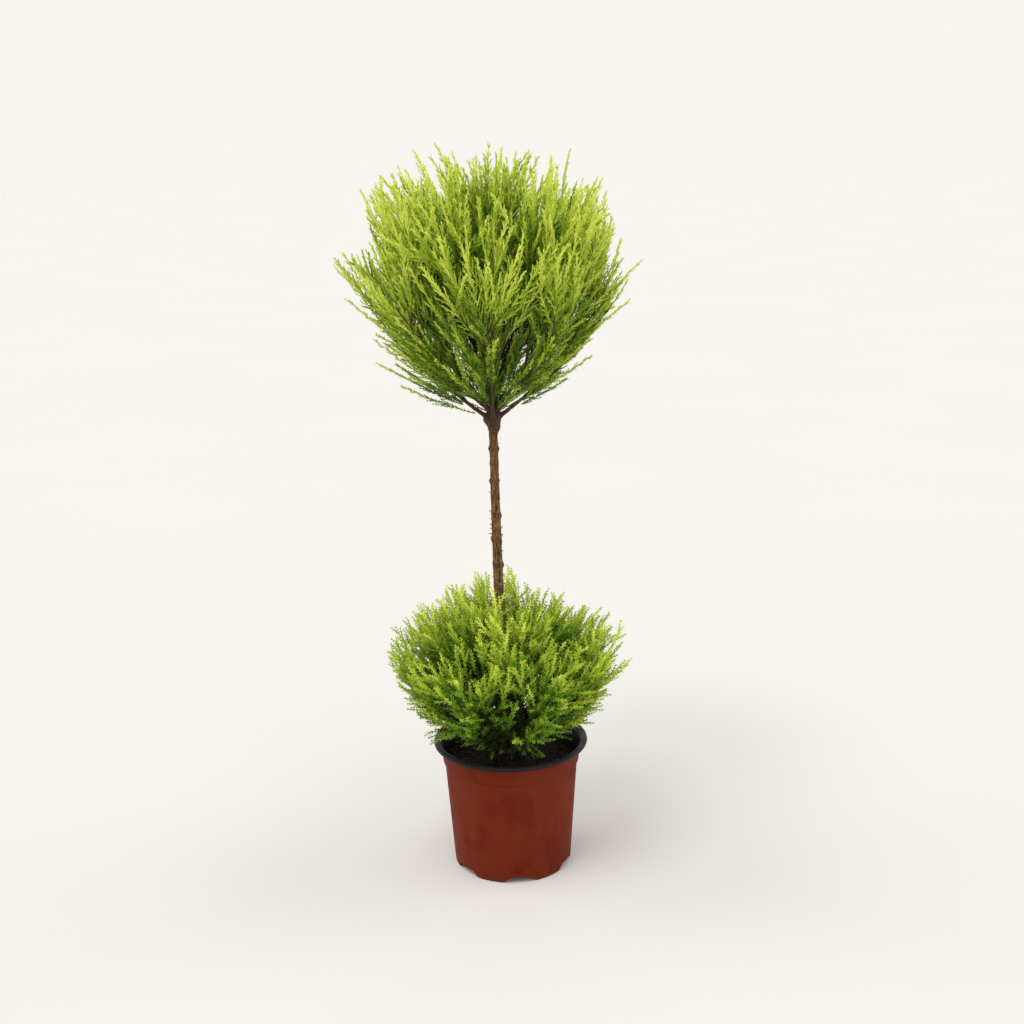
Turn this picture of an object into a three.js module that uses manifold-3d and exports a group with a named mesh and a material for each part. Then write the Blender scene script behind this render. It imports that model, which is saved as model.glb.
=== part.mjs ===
// Lemon cypress grown as a small standard: a bare stem with a fanned head on top,
// a skirt of foliage round its foot, and a ribbed plastic nursery pot full of soil.
// Millimetres, +Z up, +Y away from the viewer. The origin is the middle of the pot's flat underside.

import * as THREE from "three";
import { mergeVertices } from "three/addons/utils/BufferGeometryUtils.js";
import Module from "manifold-3d";

const wasm = await Module();
wasm.setup();

const CLEARANCE = 0.3; // gap between pieces that touch
const UP = new THREE.Vector3(0, 0, 1);
const SIDEWAYS = new THREE.Vector3(1, 0, 0);
const radians = THREE.MathUtils.degToRad;
const GOLDEN_ANGLE = radians(137.5);

const POT = {
  height: 145,
  rimRadius: 85,
  neckRadius: 77, // outside of the wall under the lip
  shoulderRadius: 75.4, // foot of the stacking collar
  bodyRadius: 73.4, // wall just under the collar
  heelRadius: 65, // wall above the heel
  baseRadius: 63.6,
  collarHeight: 24, // from the rim down to the stacking step
  lipThickness: 5,
  heelHeight: 2.6,
  wall: 1.6,
  floorTop: 9.6,
  sides: 40,
  feet: 6,
  gapHeight: 7.4,
  gapFootAngle: 33, // degrees of the base that a gap takes at the ground
  gapTopAngle: 20,
  firstGapAngle: -83, // degrees, so that one gap faces the viewer a little to the right
  gapReach: 30, // radius at which a gap's drainage channel ends
  drainRadius: 4,
};

const SOIL = {
  edgeDrop: 22, // from the rim down to the soil at the wall
  crown: 5, // rise of the soil towards the stem
  flatRadius: 24, // level patch round the stem
};

const TRUNK = {
  footX: -3,
  forkX: -11.3,
  forkHeight: 504,
  leaderTop: 625,
  flareRadius: 10.5,
  flareFade: 9, // height over which the root flare dies away
  flareLobes: 5,
  lobeDepth: 0.16,
  footRadius: 7.2,
  forkRadius: 5,
  knuckleSwell: 2.4, // extra radius where the boughs leave
  knuckleLength: 8,
  leaderRadius: 4.1,
  leaderTipRadius: 1.7,
  sides: 15,
};

// A crown is a fan of sprays from one centre. Its outline is a reach that changes with lean from upright.
const HEAD = {
  centre: new THREE.Vector3(TRUNK.forkX, 0, TRUNK.forkHeight - 6),
  topReach: 286,
  sideReach: 230,
  fanAngle: 44,
  roundness: 2,
  spurReach: 80, // loose sprays below the fan
  spurFade: 8,
  sprayLength: 82,
  sprayWidth: 0.33, // of its length
  twigLift: 0.24,
};

const SKIRT = {
  centre: new THREE.Vector3(TRUNK.footX - 1, 0, 140),
  topReach: 197,
  sideReach: 175,
  fanAngle: 50,
  roundness: 1.2,
  spurReach: 72,
  spurFade: 16,
  sprayLength: 65,
  sprayWidth: 0.35,
  twigLift: 0.16,
};

// Rings of limbs round the axis. Angles are degrees: azimuth from +X, lean from upright.
const RINGS = [
  {
    crown: HEAD,
    bough: "bough_spread",
    mass: "head_spread",
    count: 8,
    firstAzimuth: 0,
    rootHeight: 502,
    rootStep: 9,
    boughLean: 52,
    boughLength: 40,
    boughRadius: 2.5,
    tipLean: 43,
    twigs: 4,
    seed: 22,
  },
  {
    crown: HEAD,
    bough: "bough_steep",
    mass: "head_steep",
    count: 5,
    firstAzimuth: -38,
    rootHeight: 520,
    rootStep: 8,
    boughLean: 23,
    boughLength: 54,
    boughRadius: 2.5,
    tipLean: 25,
    twigs: 4,
    seed: 47,
  },
  {
    crown: SKIRT,
    mass: "skirt_low",
    count: 7,
    firstAzimuth: -12,
    rootHeight: 141,
    rootStep: 3,
    boughLean: 62,
    tipLean: 49,
    twigs: 4,
    seed: 1890,
  },
  {
    crown: SKIRT,
    mass: "skirt_high",
    count: 4,
    firstAzimuth: 20,
    rootHeight: 170,
    rootStep: 6,
    boughLean: 30,
    tipLean: 23,
    twigs: 3,
    seed: 1831,
  },
];
const LEADER_MASS = { crown: HEAD, mass: "head_leader", twigs: 5, seed: 29 };

const STEM = {
  rootRadius: 1.7,
  tipRadius: 0.7,
  length: 0.8, // of the mass's reach, with a spray beyond it
  sides: 3,
  steps: 4,
};

const TWIG = {
  rootRadius: 1.25,
  tipRadius: 0.7,
  spread: 35,
  spreadJitter: 6,
  shortest: 10,
  sprayRoom: 0.6, // of a spray's length, kept free beyond the tip
  sides: 3,
  steps: 2,
};

const SPRAY = {
  spread: 33,
  rootHalfWidth: 0.7,
  rib: 0.022, // half width between teeth, of the length
  thickness: 1.3,
  sizes: [1, 0.8, 0.62], // shares of the length that are tried in turn
  onStem: 3,
  sideShare: 0.64, // where the side spray of a twig sits
  endShare: 0.86, // where the spray at its end starts
};

// The dense heart of a mass, as shares of the stem and a spread in degrees seen from the crown's centre.
const CORE = {
  foot: 0.08,
  waist: 0.42,
  shoulder: 0.84,
  spread: 10,
  sides: 5,
  roughness: 0.3,
  clear: 0.3, // share beyond its corners that stays in the mass's space
};

const RIB_CHECKS = [0.25, 0.4, 0.55, 0.7, 0.85]; // shares of a spray's rib that are tested
const EASES = [1, -1, 0.55, -0.55, 0.15]; // shares of its spread that a twig or spray tries in turn
const CELL_MARGIN = 0.25; // each side of the plane between two masses

const MATERIALS = {
  pot: new THREE.MeshStandardMaterial({ color: 0x742c1c, roughness: 0.55, metalness: 0 }),
  soil: new THREE.MeshStandardMaterial({ color: 0x1f1612, roughness: 1, metalness: 0 }),
  bark: new THREE.MeshStandardMaterial({ color: 0x6b4a24, roughness: 0.9, metalness: 0 }),
  head: new THREE.MeshStandardMaterial({ color: 0x8fb82a, roughness: 0.7, metalness: 0 }),
  skirt: new THREE.MeshStandardMaterial({ color: 0x86ab3a, roughness: 0.7, metalness: 0 }),
};

// Solids and meshes

function solidFrom(points, faces) {
  const vertProperties = new Float32Array(points.flatMap((p) => [p.x, p.y, p.z]));
  const triVerts = new Uint32Array(faces.flat());
  return new wasm.Manifold(new wasm.Mesh({ numProp: 3, vertProperties, triVerts }));
}

function solidOf(geometry) {
  const bare = geometry.clone();
  bare.deleteAttribute("normal");
  bare.deleteAttribute("uv");
  const merged = mergeVertices(bare, 1e-4);
  const vertProperties = merged.getAttribute("position").array;
  const triVerts = new Uint32Array(merged.index.array);
  return new wasm.Manifold(new wasm.Mesh({ numProp: 3, vertProperties, triVerts }));
}

// The largest of a solid's shells, so that a sealed hollow is filled and a loose scrap is dropped.
function onePiece(solid) {
  const shells = solid.decompose();
  return shells.reduce((largest, shell) => (shell.volume() > largest.volume() ? shell : largest));
}

function meshOf(solid, name, material) {
  const { vertProperties, triVerts } = solid.getMesh();
  const geometry = new THREE.BufferGeometry();
  geometry.setAttribute("position", new THREE.BufferAttribute(vertProperties, 3));
  geometry.setIndex(new THREE.BufferAttribute(triVerts, 1));
  geometry.computeVertexNormals();
  const mesh = new THREE.Mesh(geometry, material);
  mesh.name = name;
  return mesh;
}

// Lathe about +Z of [radius, height] pairs that run up the outside and back down the inside.
function turned(profile, sides) {
  const points = profile.map(([radius, height]) => new THREE.Vector2(radius, height));
  return new THREE.LatheGeometry(points, sides).rotateX(Math.PI / 2);
}

// A tapering limb along a curve, cut square at both ends.
function limb(curve, { steps, sides, rootRadius, tipRadius }) {
  const frames = curve.computeFrenetFrames(steps, false);
  const points = [];
  for (let i = 0; i <= steps; i++) {
    const centre = curve.getPointAt(i / steps);
    const radius = THREE.MathUtils.lerp(rootRadius, tipRadius, i / steps);
    for (let k = 0; k < sides; k++) {
      const angle = (2 * Math.PI * k) / sides;
      points.push(
        centre
          .clone()
          .addScaledVector(frames.normals[i], radius * Math.cos(angle))
          .addScaledVector(frames.binormals[i], radius * Math.sin(angle)),
      );
    }
  }
  const faces = [];
  for (let i = 0; i < steps; i++) {
    for (let k = 0; k < sides; k++) {
      const a = i * sides + k;
      const b = i * sides + ((k + 1) % sides);
      faces.push([a, b, b + sides], [a, b + sides, a + sides]);
    }
  }
  const top = steps * sides;
  for (let k = 1; k < sides - 1; k++) {
    faces.push([0, k + 1, k], [top, top + k, top + k + 1]);
  }
  return solidFrom(points, faces);
}

// Pot and soil

const potInside = (radius) => radius - POT.wall;

function potProfile() {
  const shoulder = POT.height - POT.collarHeight;
  const lipFoot = POT.height - POT.lipThickness;
  return [
    [0, 0],
    [POT.baseRadius, 0],
    [POT.heelRadius, POT.heelHeight],
    [POT.bodyRadius, shoulder - 2],
    [POT.shoulderRadius, shoulder],
    [POT.neckRadius, lipFoot],
    [POT.rimRadius - 0.6, lipFoot],
    [POT.rimRadius, POT.height - 2],
    [POT.rimRadius - 2, POT.height],
    [POT.neckRadius, POT.height],
    [potInside(POT.neckRadius), POT.height - 2],
    [potInside(POT.bodyRadius), shoulder - 2],
    [potInside(POT.heelRadius), POT.floorTop],
    [0, POT.floorTop],
  ];
}

// One drainage gap: a channel under the base, wider at the ground, that opens through the wall.
function drainageGap() {
  const outer = POT.rimRadius;
  const halfAt = (degrees) => POT.baseRadius * Math.tan(radians(degrees / 2));
  const foot = halfAt(POT.gapFootAngle);
  const top = halfAt(POT.gapTopAngle);
  const section = new THREE.Shape([
    new THREE.Vector2(-foot - 2, -2),
    new THREE.Vector2(foot + 2, -2),
    new THREE.Vector2(top, POT.gapHeight),
    new THREE.Vector2(-top, POT.gapHeight),
  ]);
  const channel = new THREE.ExtrudeGeometry(section, { depth: outer - POT.gapReach, bevelEnabled: false });
  channel.rotateX(Math.PI / 2).rotateZ(Math.PI / 2).translate(POT.gapReach, 0, 0);
  const hole = new THREE.CylinderGeometry(POT.drainRadius, POT.drainRadius, 2 * POT.floorTop, 8);
  hole.rotateX(Math.PI / 2).translate((POT.gapReach + POT.baseRadius) / 2, 0, POT.floorTop);
  return solidOf(channel).add(solidOf(hole));
}

function makePot() {
  let pot = solidOf(turned(potProfile(), POT.sides));
  const gap = drainageGap();
  for (let i = 0; i < POT.feet; i++) {
    pot = pot.subtract(gap.rotate([0, 0, POT.firstGapAngle + (360 * i) / POT.feet]));
  }
  return meshOf(pot, "pot", MATERIALS.pot);
}

const soilEdgeHeight = POT.height - SOIL.edgeDrop;
const soilTop = soilEdgeHeight + SOIL.crown;

function makeSoil() {
  const shoulder = POT.height - POT.collarHeight;
  const inside = (radius) => potInside(radius) - CLEARANCE - 0.2;
  const profile = [
    [0, POT.floorTop + CLEARANCE],
    [inside(POT.heelRadius) - 1, POT.floorTop + CLEARANCE],
    [inside(POT.bodyRadius), shoulder - 2],
    [inside(POT.shoulderRadius) - 1, soilEdgeHeight],
    [SOIL.flatRadius, soilTop],
    [0, soilTop],
  ];
  return meshOf(solidOf(turned(profile, POT.sides)), "potting_soil", MATERIALS.soil);
}

// Trunk

const trunkFoot = soilTop + CLEARANCE;

// Middle of the trunk at a height: it leans left from the soil and stands straight from the fork up.
function trunkCentre(height) {
  if (height > TRUNK.forkHeight) {
    return new THREE.Vector3(TRUNK.forkX, 0, height);
  }
  const share = (height - trunkFoot) / (TRUNK.forkHeight - trunkFoot);
  const eased = 1 - (1 - share) ** 2;
  return new THREE.Vector3(THREE.MathUtils.lerp(TRUNK.footX, TRUNK.forkX, eased), 0, height);
}

function trunkRadius(height) {
  const share = (height - trunkFoot) / (TRUNK.forkHeight - trunkFoot);
  const fromFork = (height - TRUNK.forkHeight) / TRUNK.knuckleLength;
  const knuckle = TRUNK.knuckleSwell * Math.exp(-(fromFork ** 2));
  if (height > TRUNK.forkHeight + TRUNK.knuckleLength) {
    const rise = (height - TRUNK.forkHeight) / (TRUNK.leaderTop - TRUNK.forkHeight);
    return THREE.MathUtils.lerp(TRUNK.leaderRadius, TRUNK.leaderTipRadius, rise) + knuckle;
  }
  const flare = (TRUNK.flareRadius - TRUNK.footRadius) * Math.exp(-(height - trunkFoot) / TRUNK.flareFade);
  return THREE.MathUtils.lerp(TRUNK.footRadius, TRUNK.forkRadius, share) + flare + knuckle;
}

function trunkHeights() {
  const flare = [0, 4, 9, 16, 30].map((rise) => trunkFoot + rise);
  const bare = [0.2, 0.4, 0.6, 0.8, 0.94].map((s) => THREE.MathUtils.lerp(trunkFoot, TRUNK.forkHeight, s));
  const knuckle = [-7, 0, 7, 13].map((rise) => TRUNK.forkHeight + rise);
  const leader = [0.35, 0.7, 1].map((s) => THREE.MathUtils.lerp(TRUNK.forkHeight, TRUNK.leaderTop, s));
  return [...flare, ...bare, ...knuckle, ...leader];
}

// The trunk turned from its radii, lobed at the root flare and then leaned. "extra" grows it all round.
function trunkSolid(extra) {
  const heights = trunkHeights();
  const foot = heights[0] - extra;
  const top = heights.at(-1) + extra;
  const profile = heights.map((height) => [trunkRadius(height) + extra, height]);
  profile[0][1] = foot;
  profile.at(-1)[1] = top;
  const geometry = turned([[0, foot], ...profile, [0, top]], TRUNK.sides);
  const position = geometry.getAttribute("position");
  for (let i = 0; i < position.count; i++) {
    const point = new THREE.Vector3().fromBufferAttribute(position, i);
    const angle = Math.atan2(point.y, point.x);
    const flare = Math.exp(-(point.z - trunkFoot) / TRUNK.flareFade);
    const lobe = 1 + TRUNK.lobeDepth * flare * Math.cos(TRUNK.flareLobes * angle);
    const centre = trunkCentre(point.z);
    position.setXYZ(i, point.x * lobe + centre.x, point.y * lobe, point.z);
  }
  return solidOf(geometry);
}

const trunkCutter = trunkSolid(CLEARANCE);

// Growth

// Numbers that are the same on every run: each call draws the next one between low and high.
function seeded(seed) {
  let state = seed * 7919 + 104729;
  return (low, high) => {
    state = (state * 48271) % 2147483647;
    return low + ((high - low) * state) / 2147483647;
  };
}

// Direction at a lean from upright and an azimuth round it.
function heading(lean, azimuth) {
  const out = new THREE.Vector3(Math.cos(azimuth), Math.sin(azimuth), 0);
  return out.multiplyScalar(Math.sin(lean)).setZ(Math.cos(lean));
}

// Direction that leaves a parent direction by an angle, rolled round it.
function branchOff(parent, angle, roll) {
  const reference = Math.abs(parent.z) > 0.9 ? SIDEWAYS : UP;
  const side = new THREE.Vector3().crossVectors(parent, reference).normalize();
  const other = new THREE.Vector3().crossVectors(parent, side);
  return parent
    .clone()
    .multiplyScalar(Math.cos(angle))
    .addScaledVector(side, Math.sin(angle) * Math.cos(roll))
    .addScaledVector(other, Math.sin(angle) * Math.sin(roll));
}

function reachAt(crown, point) {
  const lean = THREE.MathUtils.radToDeg(point.clone().sub(crown.centre).angleTo(UP));
  if (lean <= crown.fanAngle) {
    return crown.topReach - (crown.topReach - crown.sideReach) * (lean / crown.fanAngle) ** crown.roundness;
  }
  const fade = Math.exp(-(lean - crown.fanAngle) / crown.spurFade);
  return crown.spurReach + (crown.sideReach - crown.spurReach) * fade;
}

function distanceTo({ from, to }, point) {
  const nearest = new THREE.Line3(from, to).closestPointToPoint(point, true, new THREE.Vector3());
  return nearest.distanceTo(point);
}

// A toothed blade that stands for a spray: knife-edged, two teeth a side, and a raised rib on one face.
function sprayPoints({ root, along, across, length, width }) {
  const over = new THREE.Vector3().crossVectors(along, across);
  const place = ([u, v, w]) =>
    root
      .clone()
      .addScaledVector(along, u * length)
      .addScaledVector(across, v)
      .addScaledVector(over, w);
  const rib = SPRAY.rib * length;
  return [
    [0, -SPRAY.rootHalfWidth, 0],
    [0.44, -0.5 * width, 0],
    [0.5, -rib, 0],
    [0.78, -0.38 * width, 0],
    [1, 0, 0],
    [0.7, 0.38 * width, 0],
    [0.42, rib, 0],
    [0.34, 0.5 * width, 0],
    [0, SPRAY.rootHalfWidth, 0],
    [0.2, 0, SPRAY.thickness],
    [0.62, 0, SPRAY.thickness],
  ].map(place);
}

const SPRAY_FACES = [
  [9, 8, 0],
  [9, 0, 1],
  [9, 1, 2],
  [9, 2, 10],
  [10, 2, 3],
  [10, 3, 4],
  [10, 4, 5],
  [10, 5, 6],
  [9, 10, 6],
  [9, 6, 7],
  [9, 7, 8],
  [0, 2, 1],
  [0, 6, 2],
  [0, 8, 6],
  [8, 7, 6],
  [2, 4, 3],
  [2, 6, 4],
  [6, 5, 4],
];

// One mass of foliage: a stem, twigs that leave it at the golden angle, and sprays on both.
class Mass {
  constructor(plan, allPlans, limbs) {
    this.plan = plan;
    this.crown = plan.crown;
    this.neighbours = allPlans.filter((other) => other !== plan && other.crown === plan.crown);
    this.limbs = limbs;
    this.random = seeded(plan.seed);
  }

  // Inside this mass's own space: nearer in angle to its heading than to any neighbour's.
  inCell(point) {
    const out = point.clone().sub(this.crown.centre);
    return this.neighbours.every((other) => {
      const between = this.plan.heading.clone().sub(other.heading).normalize();
      return out.dot(between) > CELL_MARGIN;
    });
  }

  // Within the crown's reach and this mass's space, and clear of every limb, the soil and the pot.
  isFree(point, thickness) {
    const out = point.distanceTo(this.crown.centre);
    if (out > reachAt(this.crown, point) || !this.inCell(point)) return false;
    if (this.limbs.some((piece) => distanceTo(piece, point) < piece.radius + thickness)) return false;
    const fromAxis = Math.hypot(point.x, point.y);
    const isOverSoil = fromAxis < POT.shoulderRadius - 5;
    return point.z > (isOverSoil ? soilTop + 3 : POT.height + 2) || fromAxis > POT.rimRadius + 4;
  }

  // A spray that fits, shortened as far as half if that helps, or nothing.
  fitSpray(root, along, twist, length) {
    const outward = root.clone().sub(this.crown.centre).setZ(0).normalize();
    const across = new THREE.Vector3().crossVectors(along, outward);
    if (across.length() < 0.2) across.copy(branchOff(along, Math.PI / 2, 0));
    across.normalize().applyAxisAngle(along, twist);
    for (const share of SPRAY.sizes) {
      const size = length * share;
      const width = size * this.crown.sprayWidth;
      const points = sprayPoints({ root, along, across, length: size, width });
      const rib = RIB_CHECKS.map((u) => root.clone().addScaledVector(along, u * size));
      const outer = [...points.slice(1, 8), ...rib];
      if (outer.every((point) => this.isFree(point, 0.8))) return solidFrom(points, SPRAY_FACES);
    }
    return null;
  }

  // A spray on a parent curve. Where it doesn't fit it lies closer to the curve.
  addSpray(curve, share, spread, roll, length) {
    const twist = this.random(-1, 1);
    for (const ease of EASES) {
      const along = branchOff(curve.getTangent(share), spread * ease, roll);
      const blade = this.fitSpray(curve.getPoint(share), along, twist, length);
      if (blade) {
        this.pieces.push(blade);
        return;
      }
    }
  }

  // The curve of a twig that leaves the stem, shortened until it and its end spray fit, or nothing.
  fitTwig(root, along, length) {
    const sprayRoom = this.crown.sprayLength * TWIG.sprayRoom;
    const rise = along.clone().addScaledVector(UP, this.crown.twigLift);
    for (let size = length; size > TWIG.shortest; size *= 0.85) {
      const middle = root.clone().addScaledVector(along, size / 2);
      const tip = root.clone().addScaledVector(rise, size);
      const curve = new THREE.QuadraticBezierCurve3(root, middle, tip);
      const sprayTip = tip.clone().addScaledVector(curve.getTangent(1), sprayRoom);
      const beyond = [tip, tip.clone().lerp(sprayTip, 0.5), sprayTip];
      const checks = [curve.getPoint(0.4), curve.getPoint(0.7), ...beyond];
      if (checks.every((point) => this.isFree(point, TWIG.rootRadius + 0.5))) return curve;
    }
    return null;
  }

  addTwig(stem, index) {
    const share = 0.1 + (0.78 * (index + 0.5)) / this.plan.twigs;
    const jitter = this.random(-TWIG.spreadJitter, TWIG.spreadJitter);
    const spread = radians(TWIG.spread + jitter);
    const roll = Math.PI / 2 + index * GOLDEN_ANGLE + this.random(-0.4, 0.4);
    const length = stem.getLength() * (0.74 - 0.44 * share) * this.random(0.85, 1.15);
    const sideRoll = this.random(0, 2 * Math.PI);
    const sprayLengths = [0, 1].map(() => this.crown.sprayLength * this.random(0.9, 1.3));
    for (const ease of EASES) {
      const along = branchOff(stem.getTangent(share), spread * ease, roll);
      const curve = this.fitTwig(stem.getPoint(share), along, length);
      if (curve) {
        this.pieces.push(limb(curve, TWIG));
        this.addSpray(curve, SPRAY.sideShare, radians(SPRAY.spread), sideRoll, sprayLengths[0]);
        this.addSpray(curve, SPRAY.endShare, 0, 0, sprayLengths[1]);
        return;
      }
    }
  }

  // A rough spindle round the stem, drawn in wherever it would come near the edge of the space.
  core(stem) {
    const points = [stem.getPoint(CORE.foot)];
    for (const share of [CORE.waist, CORE.shoulder]) {
      const middle = stem.getPoint(share);
      const radius = middle.distanceTo(this.crown.centre) * Math.tan(radians(CORE.spread));
      for (let k = 0; k < CORE.sides; k++) {
        const roll = (2 * Math.PI * (k + share)) / CORE.sides;
        const out = branchOff(stem.getTangent(share), Math.PI / 2, roll);
        const size = radius * this.random(1 - CORE.roughness, 1 + CORE.roughness);
        const point = middle.clone().addScaledVector(out, size);
        while (!this.isFree(point.clone().lerp(middle, -CORE.clear), 1)) point.lerp(middle, 0.15);
        points.push(point);
      }
    }
    points.push(stem.getPoint(1));
    const faces = [];
    for (let k = 0; k < CORE.sides; k++) {
      const a = 1 + k;
      const b = 1 + ((k + 1) % CORE.sides);
      faces.push([0, b, a], [a, b, b + CORE.sides], [a, b + CORE.sides, a + CORE.sides]);
      faces.push([a + CORE.sides, b + CORE.sides, points.length - 1]);
    }
    return solidFrom(points, faces);
  }

  grow() {
    const { start, startHeading, heading: out, reach, twigs } = this.plan;
    const tip = this.crown.centre.clone().addScaledVector(out, reach * STEM.length);
    const bend = start.clone().addScaledVector(startHeading, start.distanceTo(tip) / 2);
    const stem = new THREE.QuadraticBezierCurve3(start, bend, tip);
    this.pieces = [limb(stem, STEM), this.core(stem)];
    for (let i = 0; i < twigs; i++) this.addTwig(stem, i);
    for (let k = 0; k < SPRAY.onStem; k++) {
      const share = 0.5 + (0.42 * k) / SPRAY.onStem;
      const roll = (k + 0.5) * GOLDEN_ANGLE + this.random(-0.5, 0.5);
      const length = this.crown.sprayLength * this.random(0.9, 1.3);
      this.addSpray(stem, share, radians(SPRAY.spread), roll, length);
    }
    this.addSpray(stem, 0.95, 0, 0, reach - stem.getPoint(0.95).distanceTo(this.crown.centre) - 0.5);
    return onePiece(wasm.Manifold.union(this.pieces).subtract(trunkCutter));
  }
}

// Boughs and the plans of all masses

function segmentsOf(curve, radius) {
  const points = curve.getSpacedPoints(4);
  return points.slice(1).map((to, i) => ({ from: points[i], to, radius }));
}

function trunkSegments() {
  const heights = trunkHeights();
  return heights.slice(1).map((height, i) => ({
    from: trunkCentre(heights[i]),
    to: trunkCentre(height),
    radius: Math.max(trunkRadius(height), trunkRadius(heights[i])) * (1 + TRUNK.lobeDepth) + 0.4,
  }));
}

// A bough leaves the trunk and straightens up as it goes.
function boughCurve(ring, root, azimuth) {
  const lean = radians(ring.boughLean);
  const early = heading(lean * 1.12, azimuth);
  const late = heading(lean * 0.94, azimuth);
  const middle = root.clone().addScaledVector(early, ring.boughLength / 2);
  const tip = middle.clone().addScaledVector(late, ring.boughLength / 2);
  return new THREE.QuadraticBezierCurve3(root, middle, tip);
}

const plant = new THREE.Group();
const plans = [];
const limbs = trunkSegments();
const boughSolids = [];

for (const ring of RINGS) {
  const random = seeded(ring.seed);
  for (let i = 0; i < ring.count; i++) {
    const azimuth = radians(ring.firstAzimuth + (360 * i) / ring.count);
    const root = trunkCentre(ring.rootHeight + ring.rootStep * (i % 2));
    const tipLean = radians(ring.tipLean + random(-1.5, 1.5));
    const out = heading(tipLean, azimuth + random(-0.05, 0.05));
    const plan = { ...ring, seed: ring.seed + i, name: `${ring.mass}_${i + 1}`, heading: out };
    plan.reach = reachAt(ring.crown, ring.crown.centre.clone().add(out)) * random(0.97, 1);
    plan.start = root;
    plan.startHeading = heading(radians(ring.boughLean), azimuth);
    if (ring.bough) {
      const curve = boughCurve(ring, root, azimuth);
      const tipRadius = ring.boughRadius * 0.62;
      const solid = limb(curve, { steps: 2, sides: 6, rootRadius: ring.boughRadius, tipRadius });
      boughSolids.push([`${ring.bough}_${i + 1}`, solid.subtract(trunkCutter)]);
      limbs.push(...segmentsOf(curve, ring.boughRadius + 0.4));
      plan.startHeading = curve.getTangent(1);
      plan.start = curve.getPoint(1).addScaledVector(plan.startHeading, CLEARANCE);
    }
    plans.push(plan);
  }
}

plans.push({
  ...LEADER_MASS,
  name: LEADER_MASS.mass,
  heading: UP,
  reach: HEAD.topReach,
  start: trunkCentre(TRUNK.leaderTop + 2 * CLEARANCE),
  startHeading: UP,
});

plant.add(makePot(), makeSoil(), meshOf(trunkSolid(0), "trunk", MATERIALS.bark));
for (const [name, solid] of boughSolids) plant.add(meshOf(solid, name, MATERIALS.bark));
for (const plan of plans) {
  const material = plan.crown === HEAD ? MATERIALS.head : MATERIALS.skirt;
  plant.add(meshOf(new Mass(plan, plans, limbs).grow(), plan.name, material));
}

export default plant;
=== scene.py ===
import logging
from collections.abc import Iterable, Sequence
from dataclasses import dataclass, field, fields
from enum import Enum
from itertools import product
from math import acos, atan2, ceil, cos, degrees, exp, hypot, pi, radians, sin, tan

import bpy
import numpy as np
from mathutils import Matrix, Vector, noise
from numpy.linalg import norm


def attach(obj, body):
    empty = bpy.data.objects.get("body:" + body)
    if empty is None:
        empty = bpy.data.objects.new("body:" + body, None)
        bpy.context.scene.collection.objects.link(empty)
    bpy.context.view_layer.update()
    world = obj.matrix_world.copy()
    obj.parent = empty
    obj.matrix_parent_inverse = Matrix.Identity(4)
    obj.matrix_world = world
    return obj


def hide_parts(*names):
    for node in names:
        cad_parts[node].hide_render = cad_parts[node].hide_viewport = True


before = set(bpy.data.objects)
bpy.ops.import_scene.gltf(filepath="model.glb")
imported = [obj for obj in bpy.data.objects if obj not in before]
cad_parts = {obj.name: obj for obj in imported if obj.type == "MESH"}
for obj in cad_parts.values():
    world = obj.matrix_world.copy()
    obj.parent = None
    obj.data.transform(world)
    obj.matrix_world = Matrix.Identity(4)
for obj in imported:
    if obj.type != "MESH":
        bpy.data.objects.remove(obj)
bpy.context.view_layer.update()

LOG = logging.getLogger("lemon_cypress")
MM = 0.001  # sizes below are millimetres, meshes are metres
BODY = "root"
KNOT_AND_SHADE_LAYER = "knot"  # mesh attribute: how dark the bark is, from its knots and burls and from painted shade
UP = np.array([0.0, 0.0, 1.0])
SIDEWAYS = np.array([1.0, 0.0, 0.0])
GOLDEN_ANGLE = radians(137.5)

Points = np.ndarray
Triangles = np.ndarray
Shape = tuple[Points, Triangles]
Span = tuple[float, float]
Colour = tuple[int, int, int]
LinearColour = tuple[float, float, float, float]
Piece = bpy.types.Object
Socket = bpy.types.NodeSocket
Material = bpy.types.Material


def srgb(red: int, green: int, blue: int) -> LinearColour:
    """A display colour of 0 to 255 a channel as the linear colour that a shader takes.

    Args:
        red: Red channel.
        green: Green channel.
        blue: Blue channel.

    Returns:
        Linear red, green, blue and an alpha of one.
    """
    channels = [value / 255 for value in (red, green, blue)]
    linear = [c / 12.92 if c <= 0.04045 else ((c + 0.055) / 1.055) ** 2.4 for c in channels]
    return linear[0], linear[1], linear[2], 1.0


def unit(vector: Points) -> Points:
    """The same direction at length one, or zero for a zero vector."""
    return vector / (norm(vector) or 1.0)


def lerp(low: float, high: float, share: float) -> float:
    """The value at a share of the way from low to high."""
    return low + (high - low) * share


def turned_about(vector: Points, axis: Points, angle: float) -> Points:
    """A vector turned about a unit axis by an angle in radians."""
    along = axis * float(vector @ axis)
    return along + (vector - along) * cos(angle) + np.cross(axis, vector) * sin(angle)


def joined(shapes: Sequence[Shape]) -> Shape:
    """Several shapes as one.

    Args:
        shapes: Points and triangles of each.

    Returns:
        All points, and the triangles renumbered to them.
    """
    starts = np.cumsum([0] + [len(points) for points, _ in shapes[:-1]])
    points = np.concatenate([points for points, _ in shapes])
    triangles = np.concatenate([faces + start for (_, faces), start in zip(shapes, starts)])
    return points, triangles


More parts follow.
